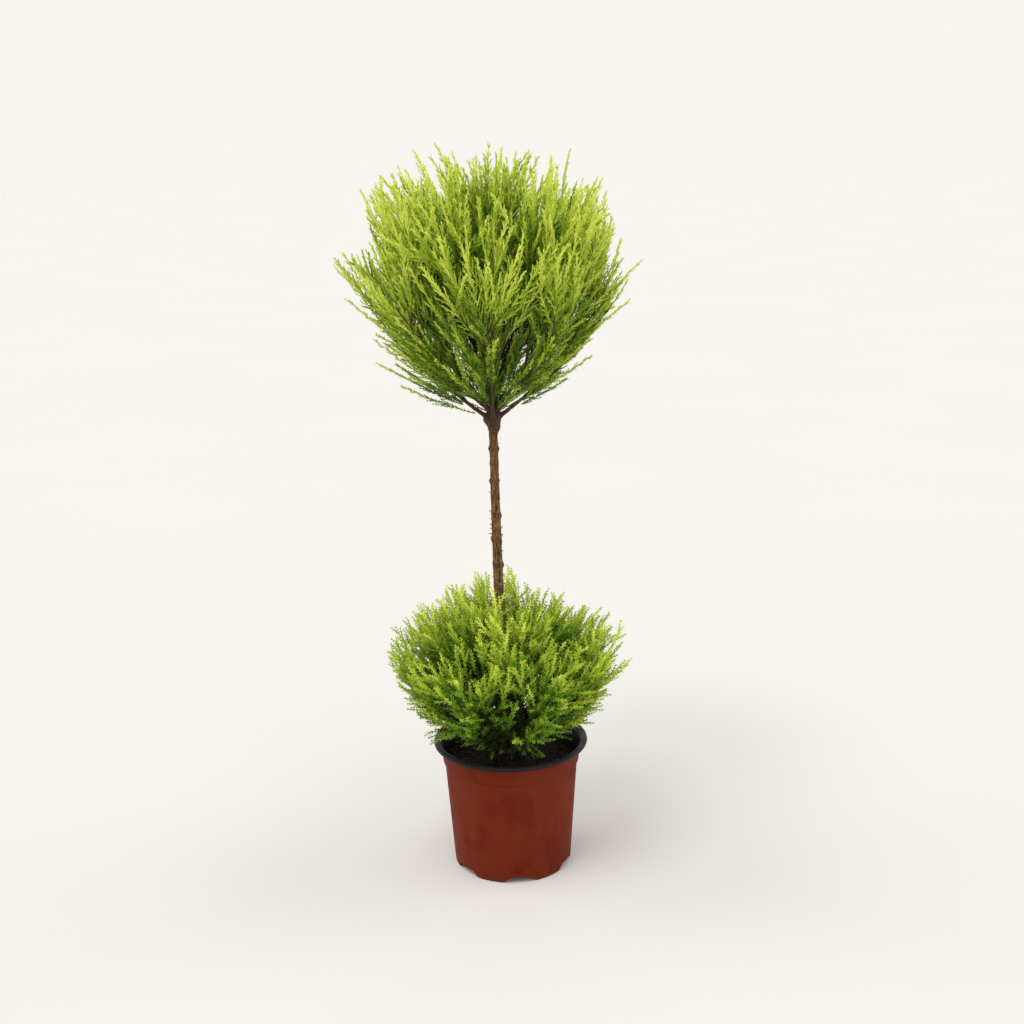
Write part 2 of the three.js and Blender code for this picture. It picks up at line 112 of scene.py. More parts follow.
def mesh_piece(name: str, shape: Shape, smooth: bool = False) -> Piece:
    """A mesh object from arrays in millimetres.

    Args:
        name: Name of the piece.
        shape: Points and triangles.
        smooth: Whether its faces are shaded smooth.

    Returns:
        The new object, at the origin.
    """
    points, triangles = shape
    mesh = bpy.data.meshes.new(name)
    mesh.vertices.add(len(points))
    mesh.vertices.foreach_set("co", (points * MM).astype(np.float32).ravel())
    mesh.loops.add(triangles.size)
    mesh.loops.foreach_set("vertex_index", triangles.astype(np.int32).ravel())
    mesh.polygons.add(len(triangles))
    mesh.polygons.foreach_set("loop_start", np.arange(0, triangles.size, 3, dtype=np.int32))
    mesh.polygons.foreach_set("use_smooth", np.full(len(triangles), smooth))
    mesh.update(calc_edges=True)
    mesh.validate()
    piece = bpy.data.objects.new(name, mesh)
    bpy.context.scene.collection.objects.link(piece)
    return piece


def hand_over(piece: Piece, materials: Iterable[Material], nodes: Iterable[str] = ()) -> None:
    """Finishes a piece, fixes it to the plant's body and reports it.

    Args:
        piece: The piece.
        materials: Its materials.
        nodes: CAD nodes that it stands for.
    """
    for material in materials:
        piece.data.materials.append(material)
    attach(piece, BODY)
    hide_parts(*nodes)
    piece.data.calc_loop_triangles()
    LOG.info("%s: %d triangles", piece.name, len(piece.data.loop_triangles))


# Finishes


class Shader:
    """A material's node tree, with short calls for the nodes that the finishes share."""

    def __init__(self, name: str) -> None:
        """Starts a material with one Principled shader.

        Args:
            name: Name of the material.
        """
        self.material = bpy.data.materials.new(name)
        self.material.use_nodes = True
        self.tree = self.material.node_tree
        self.surface = self.tree.nodes["Principled BSDF"]
        self.place = self.tree.nodes.new("ShaderNodeTexCoord").outputs["Object"]

    def node(self, kind: str, output: str, inputs: dict[str, object]) -> Socket:
        """Adds a node.

        Args:
            kind: Kind of node.
            output: Name of the output that is wanted.
            inputs: Socket or value for each input that changes.

        Returns:
            The output.
        """
        node = self.tree.nodes.new(kind)
        for name, value in inputs.items():
            if isinstance(value, Socket):
                self.tree.links.new(value, node.inputs[name])
            else:
                node.inputs[name].default_value = value
        return node.outputs[output]

    def stretched(self, scale: tuple[float, float, float]) -> Socket:
        """Object coordinates scaled by axis, so that a pattern runs long where the scale is small."""
        return self.node("ShaderNodeMapping", "Vector", {"Scale": scale, "Vector": self.place})

    def noise(self, scale: float, detail: float, place: Socket | None = None) -> Socket:
        """Soft noise, of so many features to the metre and so many octaves."""
        inputs = {"Scale": scale, "Detail": detail, "Vector": place or self.place}
        return self.node("ShaderNodeTexNoise", "Fac", inputs)

    def between(self, value: Socket, low: float, high: float, to: Span = (0.0, 1.0)) -> Socket:
        """A value stretched from one range to another and held at its ends."""
        inputs = {"Value": value, "From Min": low, "From Max": high, "To Min": to[0], "To Max": to[1]}
        return self.node("ShaderNodeMapRange", "Result", inputs)

    def knots(self) -> Socket:
        """The value of the mesh's knot attribute, which holds the darkness of knots and burls and painted
        shade.

        Returns:
            The value.
        """
        node = self.tree.nodes.new("ShaderNodeAttribute")
        node.attribute_name = KNOT_AND_SHADE_LAYER
        return node.outputs["Fac"]

    def mixed(self, share: Socket, first: Socket | LinearColour, second: Socket | LinearColour) -> Socket:
        """Two colours mixed by a share.

        Args:
            share: 0 gives the first colour and 1 the second.
            first: Colour or socket.
            second: Colour or socket.

        Returns:
            The mixed colour.
        """
        node = self.tree.nodes.new("ShaderNodeMix")
        node.data_type = "RGBA"
        self.tree.links.new(share, node.inputs["Factor"])
        for label, colour in (("A", first), ("B", second)):
            socket = next(s for s in node.inputs if s.name == label and s.type == "RGBA")
            if isinstance(colour, tuple):
                socket.default_value = colour
            else:
                self.tree.links.new(colour, socket)
        return next(s for s in node.outputs if s.type == "RGBA")

    def colour(self, socket: Socket) -> None:
        """Sets the surface's colour."""
        self.tree.links.new(socket, self.surface.inputs["Base Color"])

    def gloss(self, roughness: Socket, specular: float) -> None:
        """Sets roughness from a socket and an even specular level."""
        self.tree.links.new(roughness, self.surface.inputs["Roughness"])
        self.surface.inputs["Specular IOR Level"].default_value = specular

    def relief(self, height: Socket, strength: float, depth: float) -> None:
        """Adds a bump.

        Args:
            height: Height pattern from 0 to 1.
            strength: Strength of the bump.
            depth: Millimetres from its lowest to its highest.
        """
        before = self.surface.inputs["Normal"]
        inputs = {"Strength": strength, "Distance": depth * MM, "Height": height}
        if before.is_linked:
            inputs["Normal"] = before.links[0].from_socket
        self.tree.links.new(self.node("ShaderNodeBump", "Normal", inputs), before)


@dataclass(frozen=True)
class LeafFinish:
    """Soft scale leaves of one tint."""

    name: str
    base: Colour
    light: Colour

    def material(self) -> Material:
        """The leaf material, with a gentle drift between its two tones.

        Returns:
            The material.
        """
        shader = Shader(self.name)
        drift = shader.between(shader.noise(scale=140, detail=2), 0.36, 0.64)
        shader.colour(shader.mixed(drift, srgb(*self.base), srgb(*self.light)))
        wax = shader.between(shader.noise(scale=420, detail=1), 0.3, 0.7, (0.46, 0.62))
        shader.gloss(wax, specular=0.32)
        shader.relief(shader.noise(scale=1500, detail=1), strength=0.12, depth=0.2)
        return shader.material


@dataclass(frozen=True)
class BarkFinish:
    """Thin conifer bark: long streaks, dark cracks, and darker round the knots and where the mesh's
    attribute paints shade.
    """

    name: str
    light: Colour
    dark: Colour
    # knot colour, also used as painted shade
    knot: Colour
    flake: Colour

    def material(self) -> Material:
        """The bark material. It reads the mesh's knot attribute, which mixes in the knot colour for knots
        and burls and for painted shade.

        Returns:
            The material.
        """
        shader = Shader(self.name)
        streaks = shader.noise(760, 5, shader.stretched((1, 1, 0.12)))
        blotches = shader.noise(scale=75, detail=3)
        wood = shader.mixed(shader.between(streaks, 0.4, 0.6), srgb(*self.dark), srgb(*self.light))
        worn = shader.mixed(shader.between(blotches, 0.45, 0.75, (0.0, 0.5)), wood, srgb(*self.dark))
        flakes = shader.noise(900, 2, shader.stretched((1, 1, 0.4)))
        flaked = shader.mixed(shader.between(flakes, 0.64, 0.71, (0.0, 0.8)), worn, srgb(*self.flake))
        # Knot colour mixed in by the attribute: real knots and burls, and painted shade under the head and
        # at the trunk's foot
        shader.colour(shader.mixed(shader.knots(), flaked, srgb(*self.knot)))
        shader.gloss(shader.between(blotches, 0.3, 0.7, (0.62, 0.88)), specular=0.3)
        shader.relief(streaks, strength=0.7, depth=0.7)
        shader.relief(shader.noise(scale=1600, detail=2), strength=0.3, depth=0.25)
        return shader.material


@dataclass(frozen=True)
class PlasticFinish:
    """Thin moulded plastic: satin, a little dusty, scuffed and stained."""

    name: str
    base: Colour
    stain: Colour
    dust: Colour
    roughness: Span
    specular: float

    def material(self) -> Material:
        """The plastic material.

        Returns:
            The material.
        """
        shader = Shader(self.name)
        stains = shader.between(shader.noise(24, 5, shader.stretched((1, 1, 0.7))), 0.52, 0.6, (0.0, 0.7))
        film = shader.between(shader.noise(17, 3, shader.stretched((1, 1, 0.45))), 0.48, 0.8, (0.0, 0.4))
        scuffs = shader.noise(150, 3, shader.stretched((1, 1, 0.35)))
        marked = shader.mixed(stains, srgb(*self.base), srgb(*self.stain))
        dusty = shader.mixed(film, marked, srgb(*self.dust))
        shader.colour(shader.mixed(shader.between(scuffs, 0.665, 0.72, (0.0, 0.6)), dusty, srgb(*self.dust)))
        satin = shader.between(shader.noise(scale=45, detail=3), 0.3, 0.7, self.roughness)
        shader.gloss(satin, self.specular)
        shader.relief(shader.noise(scale=750, detail=2), strength=0.06, depth=0.3)
        return shader.material


@dataclass(frozen=True)
class EarthFinish:
    """Loose potting mix: crumbs from near black to brown."""

    name: str
    dark: Colour
    brown: Colour

    def material(self) -> Material:
        """The potting mix material.

        Returns:
            The material.
        """
        shader = Shader(self.name)
        crumbs = shader.noise(scale=420, detail=4)
        shader.colour(shader.mixed(shader.between(crumbs, 0.48, 0.72), srgb(*self.dark), srgb(*self.brown)))
        shader.gloss(shader.between(crumbs, 0.3, 0.7, (0.75, 1.0)), specular=0.2)
        shader.relief(crumbs, strength=1.0, depth=1.5)
        shader.relief(shader.noise(scale=1500, detail=3), strength=0.6, depth=0.5)
        return shader.material


@dataclass(frozen=True)
class FloorFinish:
    """Plain pale floor."""

    name: str
    base: Colour
    light: Colour

    def material(self) -> Material:
        """The floor material, a matt paint with a faint drift of tone.

        Returns:
            The material.
        """
        shader = Shader(self.name)
        shader.colour(shader.mixed(shader.noise(scale=1.5, detail=2), srgb(*self.base), srgb(*self.light)))
        shader.surface.inputs["Roughness"].default_value = 0.9
        shader.surface.inputs["Specular IOR Level"].default_value = 0
        return shader.material


class Tint(Enum):
    """Tints of the foliage, from painted shade to painted light: the darker ones paint the shade inside the
    crown and low down, and the lighter ones paint light on its top, outer sides and open sprays and also
    mark the fresher tips.
    """

    DARK = LeafFinish("leaf_dark", (36, 52, 10), (50, 70, 14))
    DEEP = LeafFinish("leaf_deep", (75, 106, 18), (93, 128, 24))
    MID = LeafFinish("leaf_mid", (108, 143, 27), (131, 165, 37))
    BRIGHT = LeafFinish("leaf_bright", (156, 180, 46), (178, 198, 58))
    LIME = LeafFinish("leaf_lime", (194, 210, 74), (212, 224, 94))


# Its knot colour also paints the shade under the head and at the trunk's foot
TRUNK_BARK = BarkFinish("trunk_bark", (125, 91, 35), (44, 29, 14), (44, 26, 21), (178, 156, 132))
STUB_BARK = BarkFinish("stub_bark", (150, 122, 92), (84, 56, 44), (84, 56, 44), (196, 176, 156))
BOUGH_BARK = BarkFinish("bough_bark", (98, 58, 40), (54, 31, 23), (46, 27, 22), (118, 84, 64))
TWIG_BARK = BarkFinish("twig_bark", (94, 76, 36), (60, 46, 22), (54, 40, 26), (112, 96, 54))
POT_OUTSIDE = PlasticFinish("pot_terracotta", (100, 34, 13), (86, 20, 4), (104, 46, 29), (0.52, 0.7), 0.07)
POT_INSIDE = PlasticFinish("pot_black", (14, 14, 15), (9, 9, 9), (42, 41, 40), (0.34, 0.5), 0.18)
POTTING_MIX = EarthFinish("potting_mix", (9, 7, 5), (34, 23, 16))
FIBRE = EarthFinish("soil_fibre", (52, 26, 19), (106, 56, 40))
CRUMB = EarthFinish("soil_crumb", (15, 11, 8), (56, 40, 28))
FLOOR = FloorFinish("pale_floor", (195, 193, 191), (197, 196, 194))


# Turned bodies


class Turning:
    """A round body drawn up ring by ring from one filled circle, as on a lathe."""

    def __init__(self, name: str, sides: int, radius: float, height: float) -> None:
        """Adds the first circle.

        Args:
            name: Name of the piece.
            sides: Points round the circle.
            radius: Radius of the first ring.
            height: Height of the first ring.
        """
        bpy.ops.mesh.primitive_circle_add(
            vertices=sides, radius=radius * MM, fill_type="NGON", location=(0, 0, height * MM)
        )
        self.piece = bpy.context.object
        self.piece.name = self.piece.data.name = name
        bpy.ops.object.transform_apply(location=True, rotation=False, scale=False)
        self.radius = radius
        self.height = height
        bpy.ops.object.mode_set(mode="EDIT")
        bpy.ops.mesh.select_all(action="SELECT")

    def ring(self, radius: float, height: float) -> None:
        """Extrudes the open end to the next ring.

        Args:
            radius: Radius of the ring.
            height: Height of the ring.
        """
        rise = (height - self.height) * MM
        bpy.ops.mesh.extrude_region_move(TRANSFORM_OT_translate={"value": (0, 0, rise)})
        grow = radius / self.radius
        bpy.ops.transform.resize(value=(grow, grow, 1), center_override=(0, 0, height * MM))
        self.radius = radius
        self.height = height

    def finish(self) -> Piece:
        """Leaves edit mode with the faces turned outwards.

        Returns:
            The turned piece.
        """
        bpy.ops.mesh.select_all(action="SELECT")
        bpy.ops.mesh.normals_make_consistent(inside=False)
        bpy.ops.object.mode_set(mode="OBJECT")
        return self.piece


def vertices_of(piece: Piece) -> Points:
    """A piece's points in millimetres.

    Args:
        piece: Mesh object at the origin.

    Returns:
        One row a point.
    """
    places = np.zeros(len(piece.data.vertices) * 3, np.float32)
    piece.data.vertices.foreach_get("co", places)
    return places.reshape(-1, 3).astype(float) / MM


def move_vertices(piece: Piece, points: Points) -> None:
    """Puts the points of a piece at new places, in millimetres."""
    piece.data.vertices.foreach_set("co", (points * MM).astype(np.float32).ravel())
    piece.data.update()


def set_attribute(piece: Piece, name: str, values: Points) -> None:
    """Writes a named value for each point of a piece."""
    layer = piece.data.attributes.new(name, "FLOAT", "POINT")
    layer.data.foreach_set("value", values.astype(np.float32))


def pick(piece: Piece) -> None:
    """Selects one piece alone and makes it the active one.

    Args:
        piece: The piece.
    """
    bpy.ops.object.select_all(action="DESELECT")
    piece.select_set(True)
    bpy.context.view_layer.objects.active = piece


def apply_modifier(piece: Piece, kind: str, **settings: object) -> None:
    """Adds a modifier to a piece and applies it.

    Args:
        piece: The piece.
        kind: Kind of modifier.
        settings: Its settings.
    """
    pick(piece)
    modifier = piece.modifiers.new(kind.lower(), kind)
    for name, value in settings.items():
        setattr(modifier, name, value)
    bpy.ops.object.modifier_apply(modifier=modifier.name)


def smooth_by_angle(piece: Piece, angle: float) -> None:
    """Shades a piece smooth, apart from edges sharper than an angle in degrees."""
    pick(piece)
    bpy.ops.object.shade_smooth_by_angle(angle=radians(angle))


@dataclass
class Pot:
    """Thin nursery pot: terracotta outside, black on its rolled lip and inside, with gaps at its foot."""

    height: float = 145
    rim_radius: float = 85
    neck_radius: float = 77
    shoulder_radius: float = 75.4
    body_radius: float = 73.4
    heel_radius: float = 65
    base_radius: float = 63.6
    collar_height: float = 24
    lip_thickness: float = 5
    heel_height: float = 2.6
    wall: float = 1.6
    floor_top: float = 9.6
    sides: int = 128
    feet: int = 6
    gap_height: float = 7.4
    gap_foot_angle: float = 33  # degrees that a gap spans at the ground
    gap_top_angle: float = 20
    first_gap_angle: float = -83
    gap_reach: float = 30  # radius that a gap goes in to
    drain_radius: float = 4
    drain_sides: int = 24

    @property
    def shoulder_height(self) -> float:
        """Height of the foot of the stacking collar."""
        return self.height - self.collar_height

    def profile(self) -> list[Span]:
        """Radius and height of each ring, up the outside, over the lip and down the inside.

        Returns:
            The rings after the first.
        """
        lip = self.height - self.lip_thickness
        shoulder = self.shoulder_height
        inside = -self.wall
        return [
            (self.heel_radius - 0.4, self.heel_height * 0.6),
            (self.heel_radius, self.heel_height),
            (lerp(self.heel_radius, self.body_radius, 0.5), lerp(self.heel_height, shoulder - 2, 0.5)),
            (self.body_radius, shoulder - 2.4),
            (self.body_radius + 0.1, shoulder - 1.6),
            (self.shoulder_radius - 0.2, shoulder - 0.2),
            (self.shoulder_radius, shoulder + 0.6),
            (self.neck_radius, lip - 0.8),
            (self.neck_radius + 0.6, lip),
            (self.rim_radius - 1.6, lip),
            (self.rim_radius - 0.4, lip + 0.9),
            (self.rim_radius, lip + 2.4),
            (self.rim_radius - 0.5, self.height - 1.1),
            (self.rim_radius - 1.9, self.height - 0.1),
            (self.rim_radius - 4.4, self.height),
            (self.rim_radius - 5.6, self.height - 0.7),
            (self.rim_radius - 7.2, self.height - 2.4),
            (self.neck_radius + inside + 0.4, self.height - 5.2),
            (self.body_radius + inside, shoulder - 2),
            (self.heel_radius + inside, self.floor_top),
        ]

    def cut_gap(self, piece: Piece, angle: float) -> None:
        """Cuts one drainage gap: a channel under the base, wider at the ground, and a drain hole above it.

        Args:
            piece: The turned pot.
            angle: Degrees round the axis.
        """
        foot = self.base_radius * tan(radians(self.gap_foot_angle / 2))
        top = self.base_radius * tan(radians(self.gap_top_angle / 2))
        middle = (self.gap_reach + self.rim_radius) / 2
        bpy.ops.mesh.primitive_cube_add(size=1)
        cutter = bpy.context.object
        bpy.ops.object.mode_set(mode="EDIT")
        bpy.ops.mesh.select_all(action="SELECT")
        width = 2 * (foot + 2) * MM
        tall = (self.gap_height + 2) * MM
        long = (self.rim_radius - self.gap_reach) * MM
        bpy.ops.transform.resize(value=(long, width, tall), center_override=(0, 0, 0))
        lift = (self.gap_height - 2) / 2 * MM
        bpy.ops.transform.translate(value=(middle * MM, 0, lift))
        bpy.ops.mesh.select_all(action="DESELECT")
        bpy.ops.object.mode_set(mode="OBJECT")
        for vertex in cutter.data.vertices:
            vertex.select = vertex.co.z > lift
        bpy.ops.object.mode_set(mode="EDIT")
        bpy.ops.transform.resize(value=(1, top / (foot + 2), 1), center_override=(0, 0, 0))
        bpy.ops.object.mode_set(mode="OBJECT")
        self.cut(piece, cutter, angle)
        bpy.ops.mesh.primitive_cylinder_add(
            vertices=self.drain_sides,
            radius=self.drain_radius * MM,
            depth=2 * self.floor_top * MM,
            location=((self.gap_reach + self.base_radius) / 2 * MM, 0, self.floor_top * MM),
        )
        bpy.ops.object.transform_apply(location=True, rotation=False, scale=False)
        self.cut(piece, bpy.context.object, angle)

    def cut(self, piece: Piece, cutter: Piece, angle: float) -> None:
        """Turns a cutter about the pot's axis and takes its shape out of the pot.

        Args:
            piece: The pot.
            cutter: The cutter, which is used up.
            angle: Degrees round the axis.
        """
        cutter.data.transform(Matrix.Rotation(radians(angle), 4, "Z"))
        apply_modifier(piece, "BOOLEAN", object=cutter, operation="DIFFERENCE", solver="EXACT")
        bpy.data.objects.remove(cutter)

    def build(self) -> Piece:
        """Turns the pot, cuts its gaps and eases its edges.

        Returns:
            The pot.
        """
        turning = Turning("nursery_pot", self.sides, self.base_radius, 0)
        for radius, height in self.profile():
            turning.ring(radius, height)
        piece = turning.finish()
        for foot in range(self.feet):
            self.cut_gap(piece, self.first_gap_angle + 360 * foot / self.feet)
        apply_modifier(
            piece, "BEVEL", width=0.35 * MM, segments=2, limit_method="ANGLE", angle_limit=radians(40)
        )
        smooth_by_angle(piece, 35)
        return piece

    def dress(self, piece: Piece) -> None:
        """Gives the outside its terracotta and the lip and inside their black.

        Args:
            piece: The pot.
        """
        piece.data.materials.clear()
        lip = self.height - self.lip_thickness
        for face in piece.data.polygons:
            middle, normal = face.center / MM, face.normal
            looks_in = middle.x * normal.x + middle.y * normal.y < -0.1
            is_inside = middle.z > self.floor_top - 0.5 and (looks_in or normal.z > 0.9)
            face.material_index = int(is_inside or middle.z > lip - 0.5)
        hand_over(piece, [POT_OUTSIDE.material(), POT_INSIDE.material()], ["pot"])


# Soil


@dataclass
class Soil:
    """Potting mix in the pot: a crumbly surface with loose crumbs and fibres on it."""

    pot: Pot
    edge_drop: float = 22
    crown: float = 5
    flat_radius: float = 24
    sides: int = 96
    rings: int = 26
    crumbs: int = 620
    fibres: int = 230
    seed: int = 71

    @property
    def edge_height(self) -> float:
        """Height of the soil at the wall."""
        return self.pot.height - self.edge_drop

    @property
    def top(self) -> float:
        """Height of the soil at the stem."""
        return self.edge_height + self.crown

    @property
    def edge_radius(self) -> float:
        """Radius of the soil's surface at the wall."""
        return self.pot.shoulder_radius - self.pot.wall - 0.7

    def surface(self, radius: float) -> float:
        """Height of the even surface at a radius."""
        share = (self.edge_radius - radius) / (self.edge_radius - self.flat_radius)
        return self.edge_height + self.crown * min(max(share, 0.0), 1.0)

    def lump(self, x: float, y: float) -> float:
        """How far the crumbly surface stands above the even one at a place.

        Args:
            x: Place from left to right.
            y: Place from front to back.

        Returns:
            The height, below zero in a hollow.
        """
        coarse = noise.noise(Vector((x / 13, y / 13, 0.3)))
        fine = noise.noise(Vector((x / 4.5, y / 4.5, 7.1)))
        return 2.2 * coarse + 1.3 * fine

    def build(self) -> Piece:
        """Turns the plug of soil and roughens its surface.

        Returns:
            The soil.
        """
        bottom = self.pot.floor_top + 0.3
        turning = Turning("potting_mix", self.sides, self.pot.heel_radius - self.pot.wall - 1.5, bottom)
        turning.ring(self.pot.body_radius - self.pot.wall - 0.5, self.pot.shoulder_height - 2)
        for step in range(self.rings):
            radius = self.edge_radius * (1 - step / self.rings)
            turning.ring(radius, self.surface(radius))
        piece = turning.finish()
        points = vertices_of(piece)
        for point in points:
            radius = hypot(point[0], point[1])
            if point[2] > self.edge_height - 0.5:
                ease = min(1.0, (self.edge_radius - radius) / 5 + 0.2)
                point[2] += self.lump(point[0], point[1]) * ease
        move_vertices(piece, points)
        smooth_by_angle(piece, 60)
        return piece

    def scattered(self, random: np.random.Generator, count: int) -> Points:
        """Places on the surface, thinner towards the stem.

        Args:
            random: Number stream.
            count: How many.

        Returns:
            One row a place.
        """
        radius = (self.edge_radius - 3) * np.sqrt(random.uniform(0.02, 1, count))
        angle = random.uniform(0, 2 * pi, count)
        places = np.stack([radius * np.cos(angle), radius * np.sin(angle), np.zeros(count)], 1)
        for place, out in zip(places, radius):
            place[2] = self.surface(out) + self.lump(place[0], place[1])
        return places

    def crumb_shape(self, random: np.random.Generator) -> Shape:
        """Loose crumbs: small uneven lumps of eight faces.

        Args:
            random: Number stream.

        Returns:
            All crumbs as one shape.
        """
        corners = np.array([[1, 0, 0], [0, 1, 0], [-1, 0, 0], [0, -1, 0], [0, 0, 1], [0, 0, -1]], float)
        faces = np.array(
            [[0, 1, 4], [1, 2, 4], [2, 3, 4], [3, 0, 4], [1, 0, 5], [2, 1, 5], [3, 2, 5], [0, 3, 5]]
        )
        shapes = []
        for place in self.scattered(random, self.crumbs):
            size = random.uniform(0.6, 1.0) * random.choice([1.0, 1.0, 1.6, 2.4])
            uneven = corners * random.uniform(0.5, 1.2, (6, 3)) * size * np.array([1.3, 1, 0.8])
            turn = Matrix.Rotation(random.uniform(0, 2 * pi), 3, "Z")
            shapes.append((uneven @ np.array(turn).T + place + [0, 0, 0.3 * size], faces))
        return joined(shapes)

    def fibre_shape(self, random: np.random.Generator) -> Shape:
        """Loose fibres: thin bent strands that lie on the surface.

        Args:
            random: Number stream.

        Returns:
            All fibres as one shape.
        """
        shapes = []
        for place in self.scattered(random, self.fibres):
            heading = random.uniform(0, 2 * pi)
            length = random.uniform(6, 22)
            out = np.array([cos(heading), sin(heading), 0])
            side = np.array([-out[1], out[0], 0])
            bend = side * random.uniform(-0.25, 0.25) * length
            path = []
            for share in np.linspace(-0.5, 0.5, 5):
                point = place + out * length * share + bend * (share**2 - 0.1)
                radius = min(hypot(point[0], point[1]), self.edge_radius)
                point[:2] *= min(1.0, (self.edge_radius - 1) / max(radius, 1.0))
                lift = 0.9 + 1.6 * abs(share)
                point[2] = self.surface(radius) + self.lump(point[0], point[1]) + lift
                path.append(point)
            radii = random.uniform(0.25, 0.5) * np.array([0.6, 1, 1, 1, 0.5])
            shapes.append(tube(np.array(path), radii, 3))
        return joined(shapes)

    def dress(self, piece: Piece) -> None:
        """Finishes the soil and lays the loose bits on it.

        Args:
            piece: The soil.
        """
        hand_over(piece, [POTTING_MIX.material()], ["potting_soil"])
        random = np.random.default_rng(self.seed)
        crumbs = mesh_piece("soil_crumbs", self.crumb_shape(random))
        hand_over(crumbs, [CRUMB.material()])
        fibres = mesh_piece("soil_fibres", self.fibre_shape(random), smooth=True)
        hand_over(fibres, [FIBRE.material()])


# Limbs


def tube(path: Points, radii: Points, sides: int) -> Shape:
    """A closed tube along a path.

    Args:
        path: One row a point.
        radii: Radius at each point.
        sides: Points round it.

    Returns:
        The tube's points and triangles.
    """
    steps = len(path)
    tangents = np.gradient(path, axis=0)
    tangents /= norm(tangents, axis=1)[:, None]
    reference = SIDEWAYS if abs(tangents[0][2]) > 0.9 else UP
    side = np.cross(tangents, reference)
    side /= norm(side, axis=1)[:, None]
    other = np.cross(tangents, side)
    angles = 2 * pi * np.arange(sides) / sides
    ring = np.cos(angles)[None, :, None] * side[:, None] + np.sin(angles)[None, :, None] * other[:, None]
    points = (path[:, None] + ring * np.asarray(radii)[:, None, None]).reshape(-1, 3)
    low = (np.arange(steps - 1)[:, None] * sides + np.arange(sides)).ravel()
    next_low = (np.arange(steps - 1)[:, None] * sides + (np.arange(sides) + 1) % sides).ravel()
    below = np.stack([low, next_low, next_low + sides], 1)
    above = np.stack([low, next_low + sides, low + sides], 1)
    fan = np.arange(1, sides - 1)
    start = np.stack([np.zeros_like(fan), fan + 1, fan], 1)
    last = (steps - 1) * sides
    end = np.stack([np.full_like(fan, last), last + fan, last + fan + 1], 1)
    return points, np.concatenate([below, above, start, end])


@dataclass(frozen=True)
class Bend:
    """A smooth bend through three control points, the path of a limb, a stem or a twig."""

    start: Points
    middle: Points
    end: Points

    def point(self, share: float) -> Points:
        """The point at a share of the way along."""
        rest = 1 - share
        return rest * rest * self.start + 2 * rest * share * self.middle + share * share * self.end

    def tangent(self, share: float) -> Points:
        """The unit direction at a share of the way along."""
        return unit((1 - share) * (self.middle - self.start) + share * (self.end - self.middle))

    def path(self, steps: int) -> Points:
        """Points along it, one more than there are steps."""
        return np.array([self.point(i / steps) for i in range(steps + 1)])

    def length(self) -> float:
        """Its length."""
        return float(norm(np.diff(self.path(60), axis=0), axis=1).sum())


def heading(lean: float, azimuth: float) -> Points:
    """Direction at a lean from upright and an azimuth, both in radians."""
    return np.array([sin(lean) * cos(azimuth), sin(lean) * sin(azimuth), cos(lean)])


def branch_off(parent: Points, angle: float, roll: float) -> Points:
    """Direction that leaves a parent direction.

    Args:
        parent: Unit direction.
        angle: Radians between the two.
        roll: Radians round the parent.

    Returns:
        The unit direction.
    """
    reference = SIDEWAYS if abs(parent[2]) > 0.9 else UP
    side = unit(np.cross(parent, reference))
    other = np.cross(parent, side)
    return parent * cos(angle) + sin(angle) * (side * cos(roll) + other * sin(roll))


